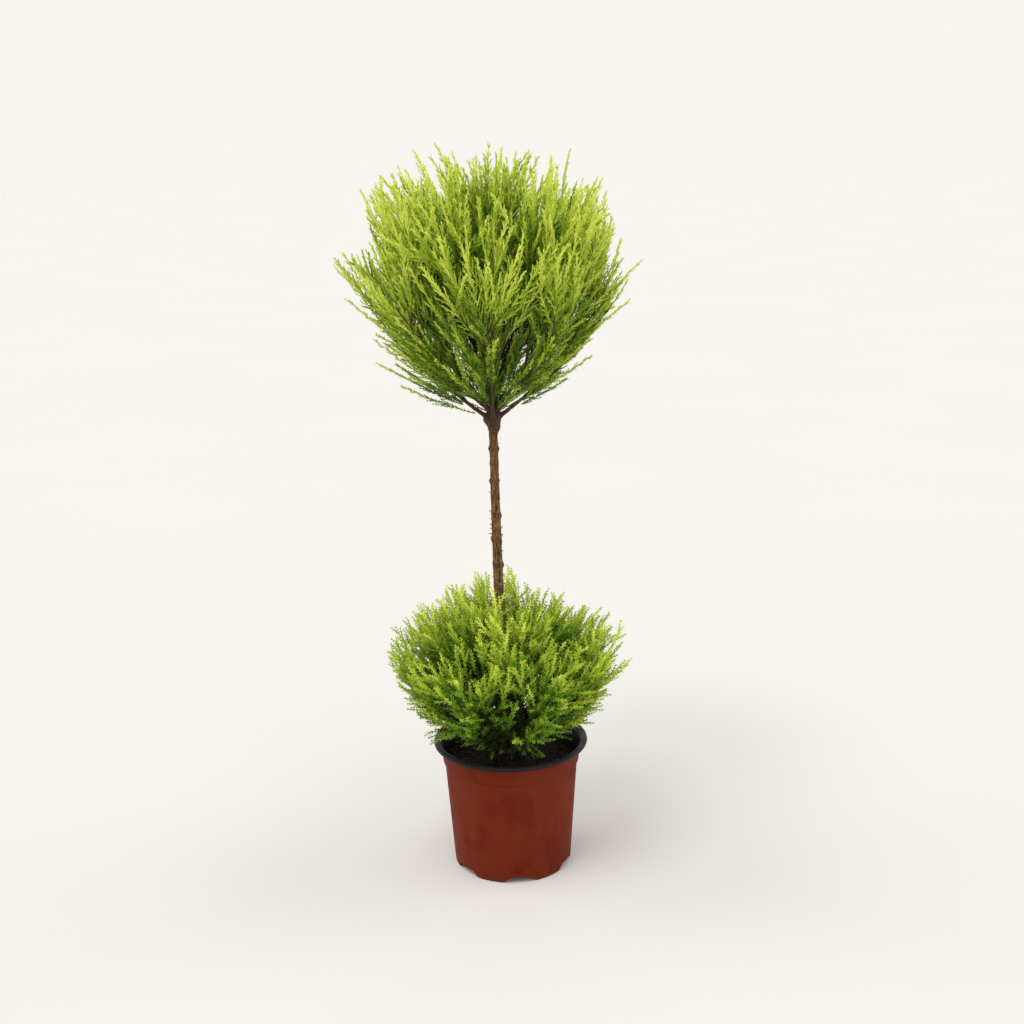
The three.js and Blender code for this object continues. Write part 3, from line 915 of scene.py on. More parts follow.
@dataclass
class Trunk:
    """Bare stem: leans a little, flares at the soil, swells at the fork and runs on up as the leader."""

    foot: float
    foot_x: float = -3
    fork_x: float = -11.3
    fork_height: float = 504
    leader_top: float = 625
    flare_radius: float = 10.5
    flare_fade: float = 9
    # painted shade: how fast the darkening at the trunk's foot fades upwards
    damp_fade: float = 34
    flare_lobes: int = 5
    lobe_depth: float = 0.16
    foot_radius: float = 7.2
    fork_radius: float = 5
    knuckle_swell: float = 2.4
    knuckle_length: float = 8
    leader_radius: float = 4.1
    leader_tip_radius: float = 1.7
    sides: int = 40
    step: float = 2.4
    # Height and angle of each knot where a twig was, and of each burl at the fork
    knots: tuple[Span, ...] = (
        (472, 200), (472, 340), (437, 190), (437, 300), (402, 255), (398, 20), (373, 180), (370, 320),
        (347, 230), (344, 350), (420, 80), (455, 120), (385, 110), (320, 60), (305, 250), (285, 160),
        (262, 300), (240, 40), (225, 210), (205, 110),
    )
    burls: tuple[Span, ...] = ((503, 172), (509, 15), (498, 262), (511, 100), (494, 330))
    thinning: float = 0.7  # the bark's hollows lie this far inside the even trunk
    stubs: int = 90
    stub_seed: int = 15

    def centre(self, height: float) -> Points:
        """Middle of the trunk at a height.

        Args:
            height: The height.

        Returns:
            The point.
        """
        if height > self.fork_height:
            return np.array([self.fork_x, 0, height])
        share = (height - self.foot) / (self.fork_height - self.foot)
        return np.array([lerp(self.foot_x, self.fork_x, 1 - (1 - share) ** 2), 0, height])

    def radius(self, height: float) -> float:
        """Radius of the trunk at a height, without bark relief.

        Args:
            height: The height.

        Returns:
            The radius.
        """
        share = (height - self.foot) / (self.fork_height - self.foot)
        from_fork = (height - self.fork_height) / self.knuckle_length
        knuckle = self.knuckle_swell * exp(-(from_fork**2))
        if height > self.fork_height + self.knuckle_length:
            rise = (height - self.fork_height) / (self.leader_top - self.fork_height)
            return lerp(self.leader_radius, self.leader_tip_radius, rise) + knuckle
        flare = (self.flare_radius - self.foot_radius) * exp(-(height - self.foot) / self.flare_fade)
        return lerp(self.foot_radius, self.fork_radius, share) + flare + knuckle

    def heights(self) -> list[float]:
        """Heights of the source's rings, which its limb tests use.

        Returns:
            The heights from the foot up.
        """
        flare = [self.foot + rise for rise in (0, 4, 9, 16, 30)]
        bare = [lerp(self.foot, self.fork_height, share) for share in (0.2, 0.4, 0.6, 0.8, 0.94)]
        knuckle = [self.fork_height + rise for rise in (-7, 0, 7, 13)]
        leader = [lerp(self.fork_height, self.leader_top, share) for share in (0.35, 0.7, 1)]
        return flare + bare + knuckle + leader

    def build(self) -> Piece:
        """Draws the trunk up ring by ring and works the bark into it.

        Returns:
            The trunk.
        """
        turning = Turning("trunk_bark", self.sides, self.radius(self.foot), self.foot)
        for height in np.arange(self.foot + self.step, self.leader_top, self.step):
            turning.ring(self.radius(height), float(height))
        turning.ring(self.leader_tip_radius, self.leader_top)
        piece = turning.finish()
        points = vertices_of(piece)
        dark = np.zeros(len(points))
        for index, point in enumerate(points):
            dark[index] = self.work_bark(point)
        move_vertices(piece, points)
        set_attribute(piece, KNOT_AND_SHADE_LAYER, dark)
        smooth_by_angle(piece, 70)
        return piece

    def away_from(self, angle: float, other: float) -> float:
        """Radians between an angle and one given in degrees, the short way round."""
        return abs((degrees(angle) - other + 180) % 360 - 180) * pi / 180

    def work_bark(self, point: Points) -> float:
        """Moves one point of the even trunk to its place on the bark.

        Args:
            point: The point, which is changed.

        Returns:
            How dark the bark is there, from 0 to 1: its knots and burls, and painted shade under the head
                and at the foot.
        """
        height = float(point[2])
        angle = atan2(point[1], point[0])
        radius = hypot(point[0], point[1])
        flare = exp(-(height - self.foot) / self.flare_fade)
        lobe = 1 + self.lobe_depth * flare * cos(self.flare_lobes * angle)
        round_place = Vector((cos(angle) * 2.6, sin(angle) * 2.6, height / 22))
        ridges = noise.noise(round_place) * 0.4 + noise.noise(round_place * 2.7) * 0.25
        swell = 1.3 * exp(-(((height - self.fork_height) / 10) ** 2)) - self.thinning
        # Painted shade: the bark darkens from just below the fork up into the head, and near the soil at the
        # foot under the skirt
        head_shade = 1 / (1 + exp(-(height - self.fork_height + 10) / 4))
        dark = 0.95 * head_shade + 0.95 * exp(-(height - self.foot) / self.damp_fade)
        for knot_height, knot_angle in self.knots:
            away = self.away_from(angle, knot_angle) * radius
            rise = height - knot_height
            bump = exp(-((away / 3.0) ** 2) - (rise / 2.6) ** 2)
            ring = exp(-((rise / 2.2) ** 2))
            swell += 1.5 * bump + 0.25 * ring
            dark = max(dark, 0.95 * bump, 0.45 * ring)
        for burl_height, burl_angle in self.burls:
            away = self.away_from(angle, burl_angle) * radius
            lump = exp(-((away / 5.5) ** 2) - ((height - burl_height) / 5) ** 2)
            swell += 2.4 * lump
            dark = max(dark, 0.9 * lump)
        ease = min(1.0, (self.leader_top - height) / 10)
        if radius > 0:
            scale = lobe * (radius + (ridges + swell) * ease) / radius
            point[:2] *= scale
        point[:2] += self.centre(height)[:2]
        return min(1.0, dark)

    def stub_shape(self) -> Shape:
        """Dry stubs of old needles and twigs that stand out of the bare stem.

        Returns:
            All stubs as one shape.
        """
        random = np.random.default_rng(self.stub_seed)
        shapes = []
        for _ in range(self.stubs):
            height = random.uniform(self.foot + 60, self.fork_height - 12)
            if random.uniform() < 0.6:
                height = random.choice([knot for knot, _ in self.knots]) + random.normal(0, 3)
            side = heading(pi / 2, random.uniform(0, 2 * pi))
            along = unit(side + UP * random.uniform(-0.2, 1.2))
            root = self.centre(height) + side * (self.radius(height) - 1.4)
            length = random.uniform(2.2, 4.6)
            path = root + np.linspace(0, 1, 3)[:, None] * along * length
            shapes.append(tube(path, random.uniform(0.35, 0.75) * np.array([1.2, 0.9, 0.35]), 5))
        return joined(shapes)

    def dress(self, piece: Piece) -> None:
        """Finishes the bark and sets the stubs on it.

        Args:
            piece: The trunk.
        """
        hand_over(piece, [TRUNK_BARK.material()], ["trunk"])
        stubs = mesh_piece("trunk_stubs", self.stub_shape(), smooth=True)
        set_attribute(stubs, KNOT_AND_SHADE_LAYER, np.zeros(len(stubs.data.vertices)))
        hand_over(stubs, [STUB_BARK.material()])


# Growth by the source's rule


class Seeded:
    """Numbers that are the same on every run, drawn one at a time."""

    def __init__(self, seed: int) -> None:
        """Starts the stream at a seed."""
        self.state = seed * 7919 + 104729

    def __call__(self, low: float, high: float) -> float:
        """The next number between low and high."""
        self.state = (self.state * 48271) % 2147483647
        return low + (high - low) * self.state / 2147483647


@dataclass(frozen=True)
class CordStyle:
    """How a leafy cord looks: its needles and the thin axis that they sit on."""

    needle_length: float
    needle_width: float
    needle_angle: float
    pitch: float  # distance between needles along the cord
    whorl: int  # needles side by side
    axis_radius: float
    bend: float = 12  # degrees that a cord curves through

    def template(self, length: float, has_tip: bool, random: np.random.Generator) -> Shape:
        """One cord along +X that bends towards +Z.

        Args:
            length: Length of the cord.
            has_tip: Whether the needles close to a point at its end.
            random: Number stream.

        Returns:
            The cord's points and triangles.
        """
        path = np.stack([np.linspace(0, length * 0.97, 2), np.zeros(2), np.zeros(2)], 1)
        ends = np.array([1.0, 0.45 if has_tip else 1.0]) * self.axis_radius
        angles = 2 * pi * np.arange(3) / 3
        ring = np.stack([np.zeros(3), np.cos(angles), np.sin(angles)], 1)
        axis = (path[:, None] + ring[None] * ends[:, None, None]).reshape(-1, 3)
        walls = np.array([[0, 1, 4], [0, 4, 3], [1, 2, 5], [1, 5, 4], [2, 0, 3], [2, 3, 5]])
        shapes = [(axis, walls)]
        count = max(3, round(length / self.pitch))
        for index in range(count):
            share = (index + 0.5) / count
            closing = max(0.0, (share - 0.7) / 0.3) if has_tip else 0.0
            for number in range(self.whorl):
                turn = 2 * pi * number / self.whorl
                roll = index * pi / max(self.whorl, 2) + turn + random.uniform(-0.25, 0.25)
                shapes.append(self.needle(share * length, roll, closing, random))
        points, faces = joined(shapes)
        return self.curved(points, length), faces

    def needle(self, place: float, roll: float, closing: float, random: np.random.Generator) -> Shape:
        """One needle: a slim pyramid of three faces, its foot sunk in the cord.

        Args:
            place: Distance along the cord.
            roll: Radians round the cord.
            closing: 0 for a spread needle, 1 for one that lies along the tip.
            random: Number stream.

        Returns:
            The needle's points and triangles.
        """
        angle = radians(self.needle_angle * lerp(1, 0.45, closing) + random.uniform(-7, 7))
        length = self.needle_length * lerp(1, 0.8, closing) * random.uniform(0.85, 1.15)
        out = np.array([0, cos(roll), sin(roll)])
        across = np.array([0, -sin(roll), cos(roll)])
        along = SIDEWAYS * cos(angle) + out * sin(angle)
        root = SIDEWAYS * place + out * self.axis_radius * 0.4
        half = self.needle_width / 2
        front = root + SIDEWAYS * half * 0.6
        foot = [root - SIDEWAYS * half, front + across * half, front - across * half]
        return np.array([*foot, root + along * length]), np.array([[0, 1, 3], [1, 2, 3], [2, 0, 3]])

    def curved(self, points: Points, length: float) -> Points:
        """Bends a straight cord to its curve.

        Args:
            points: Points of the straight cord.
            length: Length of the cord.

        Returns:
            The bent points.
        """
        turn = radians(self.bend) * points[:, 0] / length
        radius = length / radians(self.bend)
        x = radius * np.sin(turn) - points[:, 2] * np.sin(turn)
        z = radius * (1 - np.cos(turn)) + points[:, 2] * np.cos(turn)
        return np.stack([x, points[:, 1], z], 1)


@dataclass(frozen=True)
class Crown:
    """A fan of sprays from one centre. Its outline is a reach that changes with lean from upright."""

    name: str
    centre: Points
    top_reach: float
    side_reach: float
    fan_angle: float
    roundness: float
    spur_reach: float
    spur_fade: float
    spray_length: float
    spray_width: float
    twig_lift: float
    bough_plumes: int
    stem_plumes: int
    twig_plumes: int
    fine_twigs: int
    first_plume: float  # share of the stem at which finer sprays start
    raggedness: float  # share of the reach by which some sprays fall short
    plume_lift: float  # how far a spray's tip bends up
    cord_pitch: float
    cord_share: float
    cord_spread: Span  # degrees, at a spray's foot and tip
    cord_limits: Span  # shortest and longest
    cord_scatter: float  # radians out of a spray's plane
    draw: float  # how strongly finer sprays are drawn outwards
    fine_lengths: Span  # shares of the spray length
    edge_sprays: tuple[int, int]  # flat sprays below each low bough and stem
    edge_lean: Span
    edge_length: float
    edge_depth: float
    edge_sparse: float  # share of the cords that they carry
    tip_light: float  # this and the next four: how much lighter; tip_light and freshness are fresher growth, while loose_light, height_light and side_light are painted light on loose sprays, high up and on the outer sides
    loose_light: float
    freshness: float
    height_light: float
    side_light: float
    open_lean: float  # below this lean only a share of the sprays grow
    open_reach: float
    open_share: float
    side_share: float
    outline: tuple[Span, ...]  # degrees across the front, and share of the reach
    style: CordStyle
    loose_style: CordStyle

    def outline_at(self, points: Points) -> Points:
        """How far fine sprays go in each point's direction across the front, as a share of the reach."""
        across = np.degrees(np.arctan2(*(points - self.centre)[:, [0, 2]].T))
        return np.interp(across, *zip(*self.outline))

    def fullness(self, point: Points) -> float:
        """Share of the sprays that grow round a point: fewer low down, and fewest there near the centre.

        Args:
            point: The point.

        Returns:
            The share, from 0 to 1.
        """
        out = point - self.centre
        away = float(norm(out))
        if degrees(acos(out[2] / away)) < self.open_lean:
            return 1.0
        return self.open_share if away < self.open_reach else self.side_share

    def lean_of(self, points: Points) -> Points:
        """Degrees from upright at which each point is seen from the centre."""
        out = points - self.centre
        return np.degrees(np.arccos(np.clip(out[:, 2] / norm(out, axis=1), -1, 1)))

    def reach_at(self, points: Points) -> Points:
        """How far the crown reaches in the direction of each point.

        Args:
            points: One row a point.

        Returns:
            One distance from the centre a point.
        """
        lean = self.lean_of(points)
        share = np.minimum(lean, self.fan_angle) / self.fan_angle
        fan = self.top_reach - (self.top_reach - self.side_reach) * share**self.roundness
        fade = np.exp(-np.maximum(lean - self.fan_angle, 0) / self.spur_fade)
        below = self.spur_reach + (self.side_reach - self.spur_reach) * fade
        return np.where(lean <= self.fan_angle, fan, below)

    def depth_of(self, points: Points) -> Points:
        """Each point's distance from the centre as a share of the reach there."""
        return norm(points - self.centre, axis=1) / self.reach_at(points)

    def exposure_of(self, points: Points) -> Points:
        """How near each point is to the crown's outside, its open foot included.

        Args:
            points: One row a point.

        Returns:
            From 0 to about 1 for each point.
        """
        lean = self.lean_of(points)
        at_foot = np.clip((lean - self.open_lean + 22) / 26, 0, 1)
        depth = np.minimum(self.depth_of(points), 1.05)
        return depth + np.maximum(1 - depth, 0) * 0.9 * at_foot


@dataclass(frozen=True)
class Ring:
    """Limbs and masses set round the axis. Angles are degrees."""

    crown: Crown
    mass: str
    count: int
    first_azimuth: float
    root_height: float
    root_step: float
    bough_lean: float
    tip_lean: float
    twigs: int
    seed: int
    bough: str = ""
    bough_length: float = 0
    bough_radius: float = 0


@dataclass
class Plan:
    """Where one mass starts, where it heads and how far it reaches."""

    name: str
    crown: Crown
    twigs: int
    seed: int
    heading: Points
    reach: float
    start: Points
    start_heading: Points
    bough: Bend | None = None


@dataclass
class Room:
    """What the foliage keeps clear of: the limbs as capsules, the soil and the pot."""

    pot: Pot
    soil: Soil
    starts: list[Points] = field(default_factory=list)
    ends: list[Points] = field(default_factory=list)
    radii: list[float] = field(default_factory=list)

    def add_limb(self, path: Points, radii: Sequence[float]) -> None:
        """Adds a limb.

        Args:
            path: Points along it.
            radii: Radius of each stretch between two points.
        """
        self.starts.extend(path[:-1])
        self.ends.extend(path[1:])
        self.radii.extend(radii)

    def is_clear(self, points: Points, thickness: float) -> Points:
        """Which points are clear of every limb, the soil and the pot.

        Args:
            points: One row a point.
            thickness: Room that each needs round it.

        Returns:
            True or false for each point.
        """
        starts, radii = np.array(self.starts), np.array(self.radii)
        runs = np.array(self.ends) - starts
        out = points[:, None] - starts[None]
        share = np.clip((out * runs).sum(2) / (runs * runs).sum(1), 0, 1)
        gaps = norm(out - share[..., None] * runs, axis=2)
        off_limbs = (gaps >= radii + thickness).all(1)
        from_axis = np.hypot(points[:, 0], points[:, 1])
        over_soil = from_axis < self.pot.shoulder_radius - 5
        ground = np.where(over_soil, self.soil.top + 3, self.pot.height + 2)
        return off_limbs & ((points[:, 2] > ground) | (from_axis > self.pot.rim_radius + 4))


@dataclass
class Plume:
    """One leafy spray: an axis that cords branch from."""

    root: Points
    along: Points
    length: float
    lift: float
    sparse: float = 1.0  # share of its cords. A spray with fewer than all of them is loose
    # painted light: how much lighter the tints of a spray that stands in the open are drawn
    light: float = 0.0


# The source's toothed blade, as places along a spray and across it
BLADE = np.array([[0.44, -0.5], [0.5, 0], [0.78, -0.38], [1, 0], [0.7, 0.38], [0.42, 0], [0.34, 0.5]])
RIB_CHECKS = np.array([0.25, 0.4, 0.55, 0.7, 0.85])
# Shares of an angle or a length that are tried in turn until something fits
EASES = (1, -1, 0.55, -0.55, 0.15)
SPRAY_SIZES = (1, 0.8, 0.62)
FINE_SIZES = (1.3, 1.12, 0.96, 0.8, 0.66, 0.5)
CELL_MARGIN = 0.25
LOW_HEADING = 0.8  # masses that head lower than this carry flat sprays
FINE_MARGIN = -40.0  # how far fine sprays of two masses may lap past the plane between them


@dataclass
class Mass:
    """One mass of foliage: a stem, twigs at the golden angle, sprays on both, and finer sprays between."""

    plan: Plan
    neighbours: Points
    room: Room
    stem_length: float = 0.8
    twig_spread: float = 35
    twig_jitter: float = 6
    twig_shortest: float = 10
    twig_thickness: float = 1.75
    spray_room: float = 0.6
    spray_spread: float = 33
    stem_sprays: int = 3
    core_draws: int = 10  # numbers that the source draws for its stem's core
    fine_seed: int = 40000
    twigs: list[tuple[Bend, float, float]] = field(default_factory=list)
    plumes: list[Plume] = field(default_factory=list)

    def __post_init__(self) -> None:
        """Starts the mass's number streams and the planes that bound its space."""
        self.crown = self.plan.crown
        self.random = Seeded(self.plan.seed)
        self.fine = Seeded(self.plan.seed + self.fine_seed)
        apart = self.plan.heading - self.neighbours
        self.planes = apart / norm(apart, axis=1)[:, None]

    def is_free(
        self, points: Points, thickness: float, margin: float = CELL_MARGIN, depth: float | Points = 1.0
    ) -> bool:
        """Whether all points are in this mass's space, within reach and clear of limbs, soil and pot.

        Args:
            points: One row a point.
            thickness: Room that each needs round it.
            margin: Distance from the planes between masses.
            depth: Share of the reach that the points stay within.

        Returns:
            True if every point is free.
        """
        if (self.crown.depth_of(points) > depth).any():
            return False
        if ((points - self.crown.centre) @ self.planes.T <= margin).any():
            return False
        return bool(self.room.is_clear(points, thickness).all())

    def spray_size(self, root: Points, along: Points, twist: float, length: float) -> float:
        """The length at which a spray of the source fits, or 0.

        Args:
            root: Where it sits.
            along: Its direction.
            twist: Radians that its blade is turned.
            length: Full length.

        Returns:
            The length.
        """
        outward = unit((root - self.crown.centre) * [1, 1, 0])
        across = np.cross(along, outward)
        if norm(across) < 0.2:
            across = branch_off(along, pi / 2, 0)
        across = turned_about(unit(across), along, twist)
        for share in SPRAY_SIZES:
            size = length * share
            width = size * self.crown.spray_width
            edge = root + BLADE[:, :1] * along * size + BLADE[:, 1:] * across * width
            rib = root + RIB_CHECKS[:, None] * along * size
            if self.is_free(np.concatenate([edge, rib]), 0.8):
                return size
        return 0.0

    def add_spray(self, bend: Bend, share: float, spread: float, roll: float, length: float) -> None:
        """Adds a spray of the source on a stem or twig, nearer to it where it wouldn't fit.

        Args:
            bend: The stem or twig.
            share: Place along it.
            spread: Radians away from it.
            roll: Radians round it.
            length: Full length.
        """
        twist = self.random(-1, 1)
        for ease in EASES:
            along = branch_off(bend.tangent(share), spread * ease, roll)
            size = self.spray_size(bend.point(share), along, twist, length)
            if size:
                self.plumes.append(Plume(bend.point(share), along, size, self.crown.plume_lift))
                return

    def fit_twig(
        self, root: Points, along: Points, length: float, margin: float = CELL_MARGIN
    ) -> Bend | None:
        """A twig shortened until it and its end spray fit.

        Args:
            root: Where it leaves the stem.
            along: Its direction.
            length: Full length.
            margin: Distance from the planes between masses.

        Returns:
            The twig, or nothing.
        """
        room = self.crown.spray_length * self.spray_room
        size = length
        while size > self.twig_shortest:
            tip = root + (along + UP * self.crown.twig_lift) * size
            bend = Bend(root, root + along * size / 2, tip)
            beyond = tip + bend.tangent(1) * room
            checks = np.array([bend.point(0.4), bend.point(0.7), tip, (tip + beyond) / 2, beyond])
            if self.is_free(checks, self.twig_thickness, margin):
                return bend
            size *= 0.85
        return None

    def add_twig(self, stem: Bend, index: int) -> None:
        """Adds a twig with its side spray and its end spray.

        Args:
            stem: The mass's stem.
            index: Number of the twig.
        """
        share = 0.1 + 0.78 * (index + 0.5) / self.plan.twigs
        spread = radians(self.twig_spread + self.random(-self.twig_jitter, self.twig_jitter))
        roll = pi / 2 + index * GOLDEN_ANGLE + self.random(-0.4, 0.4)
        length = stem.length() * (0.74 - 0.44 * share) * self.random(0.85, 1.15)
        side_roll = self.random(0, 2 * pi)
        lengths = [self.crown.spray_length * self.random(0.9, 1.3) for _ in range(2)]
        for ease in EASES:
            along = branch_off(stem.tangent(share), spread * ease, roll)
            bend = self.fit_twig(stem.point(share), along, length)
            if bend:
                self.twigs.append((bend, 1.25, 0.6))
                self.add_spray(bend, 0.64, radians(self.spray_spread), side_roll, lengths[0])
                self.add_spray(bend, 0.86, 0, 0, lengths[1])
                self.add_fine(bend, self.crown.twig_plumes, 0.25)
                return

    def add_fine_twig(self, stem: Bend, index: int) -> None:
        """Carries the rule on: a finer twig between those of the source, with finer sprays on it.

        Args:
            stem: The mass's stem.
            index: Number of the twig.
        """
        share = 0.06 + 0.8 * (index + 0.5) / self.crown.fine_twigs
        spread = radians(self.fine(24, 46))
        roll = -pi / 2 + index * GOLDEN_ANGLE + self.fine(-0.5, 0.5)
        length = stem.length() * (0.62 - 0.36 * share) * self.fine(0.8, 1.15)
        for ease in EASES:
            along = branch_off(stem.tangent(share), spread * ease, roll)
            bend = self.fit_twig(stem.point(share), along, length, FINE_MARGIN)
            if bend:
                self.twigs.append((bend, 0.95, 0.5))
                self.add_fine(bend, self.crown.twig_plumes, 0.2)
                return

    def add_fine(self, bend: Bend, count: int, first: float) -> None:
        """Carries the rule on: finer sprays at the golden angle along a stem or twig.

        Args:
            bend: The stem or twig.
            count: How many are tried.
            first: Share of the way along at which they start.
        """
        for index in range(count):
            share = first + (0.97 - first) * (index + 0.5) / count
            roll = index * GOLDEN_ANGLE + self.fine(-0.6, 0.6)
            spread = radians(self.fine(8, 34))
            length = self.crown.spray_length * self.fine(*self.crown.fine_lengths)
            depth = 1 - self.crown.raggedness * self.fine(0, 1) ** 1.6
            root = bend.point(share)
            outward = unit(root - self.crown.centre) * self.crown.draw
            for ease in EASES:
                along = unit(branch_off(bend.tangent(share), spread * ease, roll) + outward)
                size = self.fine_size(root, along, length, depth)
                if size:
                    self.plumes.append(Plume(root, along, size, self.crown.plume_lift))
                    break

    def add_edge(self, bend: Bend, count: int, first: float, last: float) -> None:
        """Adds sprays that stand out flat and loose below a low limb.

        Args:
            bend: The bough or stem.
            count: How many.
            first: Share of the way along at which they start.
            last: Share at which they end.
        """
        crown = self.crown
        for index in range(count):
            root = bend.point(lerp(first, last, (index + self.fine(0.2, 0.8)) / count))
            away = root - crown.centre
            azimuth = atan2(away[1], away[0]) + self.fine(-0.75, 0.75)
            along = heading(radians(self.fine(*crown.edge_lean)), azimuth)
            size = crown.edge_length * self.fine(0.75, 1.25)
            depth = crown.edge_depth * self.fine(0.8, 1)
            while size > self.twig_shortest:
                tip = (root + along * size)[None]
                if crown.depth_of(tip)[0] <= depth * crown.outline_at(tip)[0]:
                    self.plumes.append(Plume(root, along, size, crown.plume_lift, crown.edge_sparse))
                    break
                size *= 0.9

    def fine_size(self, root: Points, along: Points, length: float, depth: float) -> float:
        """The length at which a finer spray fits, or 0.

        Args:
            root: Where it sits.
            along: Its direction.
            length: Wanted length.
            depth: Share of the reach that it stays within.

        Returns:
            The length.
        """
        shares = np.array([0.35, 0.6, 0.8, 1.0])
        for part in FINE_SIZES:
            size = length * part
            places = root + shares[:, None] * along * size
            if self.is_free(places, 2.0, FINE_MARGIN, depth * self.crown.outline_at(places)):
                return size
        return 0.0

    def grow(self) -> None:
        """Grows the stem, its twigs and all sprays."""
        plan = self.plan
        tip = self.crown.centre + plan.heading * plan.reach * self.stem_length
        away = norm(plan.start - tip)
        stem = Bend(plan.start, plan.start + plan.start_heading * away / 2, tip)
        self.twigs.append((stem, 1.7, 0.7))
        for _ in range(self.core_draws):
            self.random(0, 1)
        for index in range(plan.twigs):
            self.add_twig(stem, index)
        for index in range(self.stem_sprays):
            share = 0.5 + 0.42 * index / self.stem_sprays
            roll = (index + 0.5) * GOLDEN_ANGLE + self.random(-0.5, 0.5)
            length = self.crown.spray_length * self.random(0.9, 1.3)
            self.add_spray(stem, share, radians(self.spray_spread), roll, length)
        last = norm(stem.point(0.95) - self.crown.centre)
        self.add_spray(stem, 0.95, 0, 0, plan.reach - last - 0.5)
        for index in range(self.crown.fine_twigs):
            self.add_fine_twig(stem, index)
        self.add_fine(stem, self.crown.stem_plumes, self.crown.first_plume)
        if plan.bough:
            self.add_fine(plan.bough, self.crown.bough_plumes, 0.45)
        if plan.heading[2] < LOW_HEADING:
            on_bough, on_stem = self.crown.edge_sprays
            if plan.bough:
                self.add_edge(plan.bough, on_bough, 0.5, 1)
            self.add_edge(stem, on_stem, 0.05, 0.75)


HEAD = Crown(
    name="head", centre=np.array([-11.3, 0.0, 498.0]), top_reach=286, side_reach=230, fan_angle=44,
    roundness=2, spur_reach=80, spur_fade=8, spray_length=82, spray_width=0.33, twig_lift=0.24,
    bough_plumes=4, stem_plumes=10, twig_plumes=4, fine_twigs=6, first_plume=0.04, raggedness=0.12,
    plume_lift=0.22, cord_pitch=4.1, cord_share=0.24, cord_spread=(33, 20), cord_limits=(7, 25),
    cord_scatter=0.6, draw=0.3, fine_lengths=(0.85, 1.4), edge_sprays=(2, 6), edge_lean=(54, 76),
    edge_length=76, edge_depth=1.02, edge_sparse=0.6, tip_light=0.18, loose_light=0.1, freshness=0.06,
    height_light=0.47, side_light=0.16, open_lean=36, open_reach=140, open_share=0.6, side_share=0.66,
    outline=(
        (-78, 0.7), (-71, 1.15), (-60, 1.22), (-50, 1.1), (-44, 1.03), (-38, 0.97), (-33, 0.86), (-27, 1.05),
        (-21, 1.09), (-10, 1.03), (-3, 0.98), (8, 1.02), (15, 1.07), (22, 1.09), (30, 1.01), (36, 0.93),
        (41, 0.86), (46, 1.0), (54, 0.94), (58, 0.85), (64, 0.6),
    ),
    style=CordStyle(
        needle_length=2.7, needle_width=1.5, needle_angle=34, pitch=2.0, whorl=1, axis_radius=0.8
    ),
    loose_style=CordStyle(
        needle_length=2.9, needle_width=1.3, needle_angle=50, pitch=2.7, whorl=2, axis_radius=0.75
    ),
)
SKIRT = Crown(
    name="skirt", centre=np.array([-4.0, 0.0, 140.0]), top_reach=197, side_reach=175, fan_angle=50,
    roundness=1.2, spur_reach=72, spur_fade=16, spray_length=65, spray_width=0.35, twig_lift=0.16,
    bough_plumes=0, stem_plumes=12, twig_plumes=4, fine_twigs=8, first_plume=0.08, raggedness=0.26,
    plume_lift=0.5, cord_pitch=13, cord_share=0.52, cord_spread=(36, 28), cord_limits=(14, 46),
    cord_scatter=0.4, draw=0.7, fine_lengths=(1.05, 1.7), edge_sprays=(0, 5), edge_lean=(62, 88),
    edge_length=80, edge_depth=1.15, edge_sparse=0.9, tip_light=0.1, loose_light=0.04,
    freshness=0.035, height_light=0.36, side_light=0, open_lean=200, open_reach=0, open_share=1,
    side_share=1,
    outline=(
        (-75, 1.2), (-66, 1.17), (-56, 1.05), (-40, 1.02), (-28, 0.98), (-12, 1.0), (0, 1.02), (8, 0.94),
        (24, 0.92), (36, 1.0), (48, 1.08), (56, 1.16), (64, 1.3), (75, 1.28),
    ),
    style=CordStyle(
        needle_length=3.4, needle_width=1.35, needle_angle=54, pitch=3.0, whorl=3, axis_radius=0.85
    ),
    loose_style=CordStyle(
        needle_length=3.8, needle_width=1.5, needle_angle=56, pitch=3.2, whorl=3, axis_radius=0.9
    ),
)
RINGS = (
    Ring(
        HEAD, "head_spread", count=8, first_azimuth=0, root_height=502, root_step=9, bough_lean=52,
        tip_lean=43, twigs=4, seed=22, bough="bough_spread", bough_length=40, bough_radius=2.5,
    ),
    Ring(
        HEAD, "head_steep", count=5, first_azimuth=-38, root_height=520, root_step=8, bough_lean=23,
        tip_lean=25, twigs=4, seed=47, bough="bough_steep", bough_length=54, bough_radius=2.5,
    ),
    Ring(
        SKIRT, "skirt_low", count=7, first_azimuth=-12, root_height=141, root_step=3, bough_lean=62,
        tip_lean=49, twigs=4, seed=1890,
    ),
    Ring(
        SKIRT, "skirt_high", count=4, first_azimuth=20, root_height=170, root_step=6, bough_lean=30,
        tip_lean=23, twigs=3, seed=1831,
    ),
)
LEADER_MASS = ("head_leader", 5, 29)  # name, twigs and seed
# Low sprays of the skirt: azimuth, height on the trunk, lean from upright and length
LOW_SPRAYS = (
    (188, 160, 93, 82), (200, 157, 97, 82), (214, 160, 88, 66), (238, 150, 92, 52), (252, 146, 93, 44),
    (265, 144, 90, 40), (278, 145, 91, 42), (291, 147, 92, 46),
    (302, 160, 112, 60), (322, 160, 88, 64), (340, 160, 86, 78), (352, 162, 82, 84), (8, 160, 82, 88),
    (24, 160, 84, 84),
)
# Long sprays of the head's sides, in the same order
WING_SPRAYS = (
    (180, 520, 50.5, 203), (0, 520, 49.5, 201), (188, 516, 54, 178), (352, 518, 54, 170),
    (176, 509, 70, 122), (186, 507, 77, 92), (168, 511, 65, 136), (2, 508, 70, 78), (350, 511, 64, 112),
)
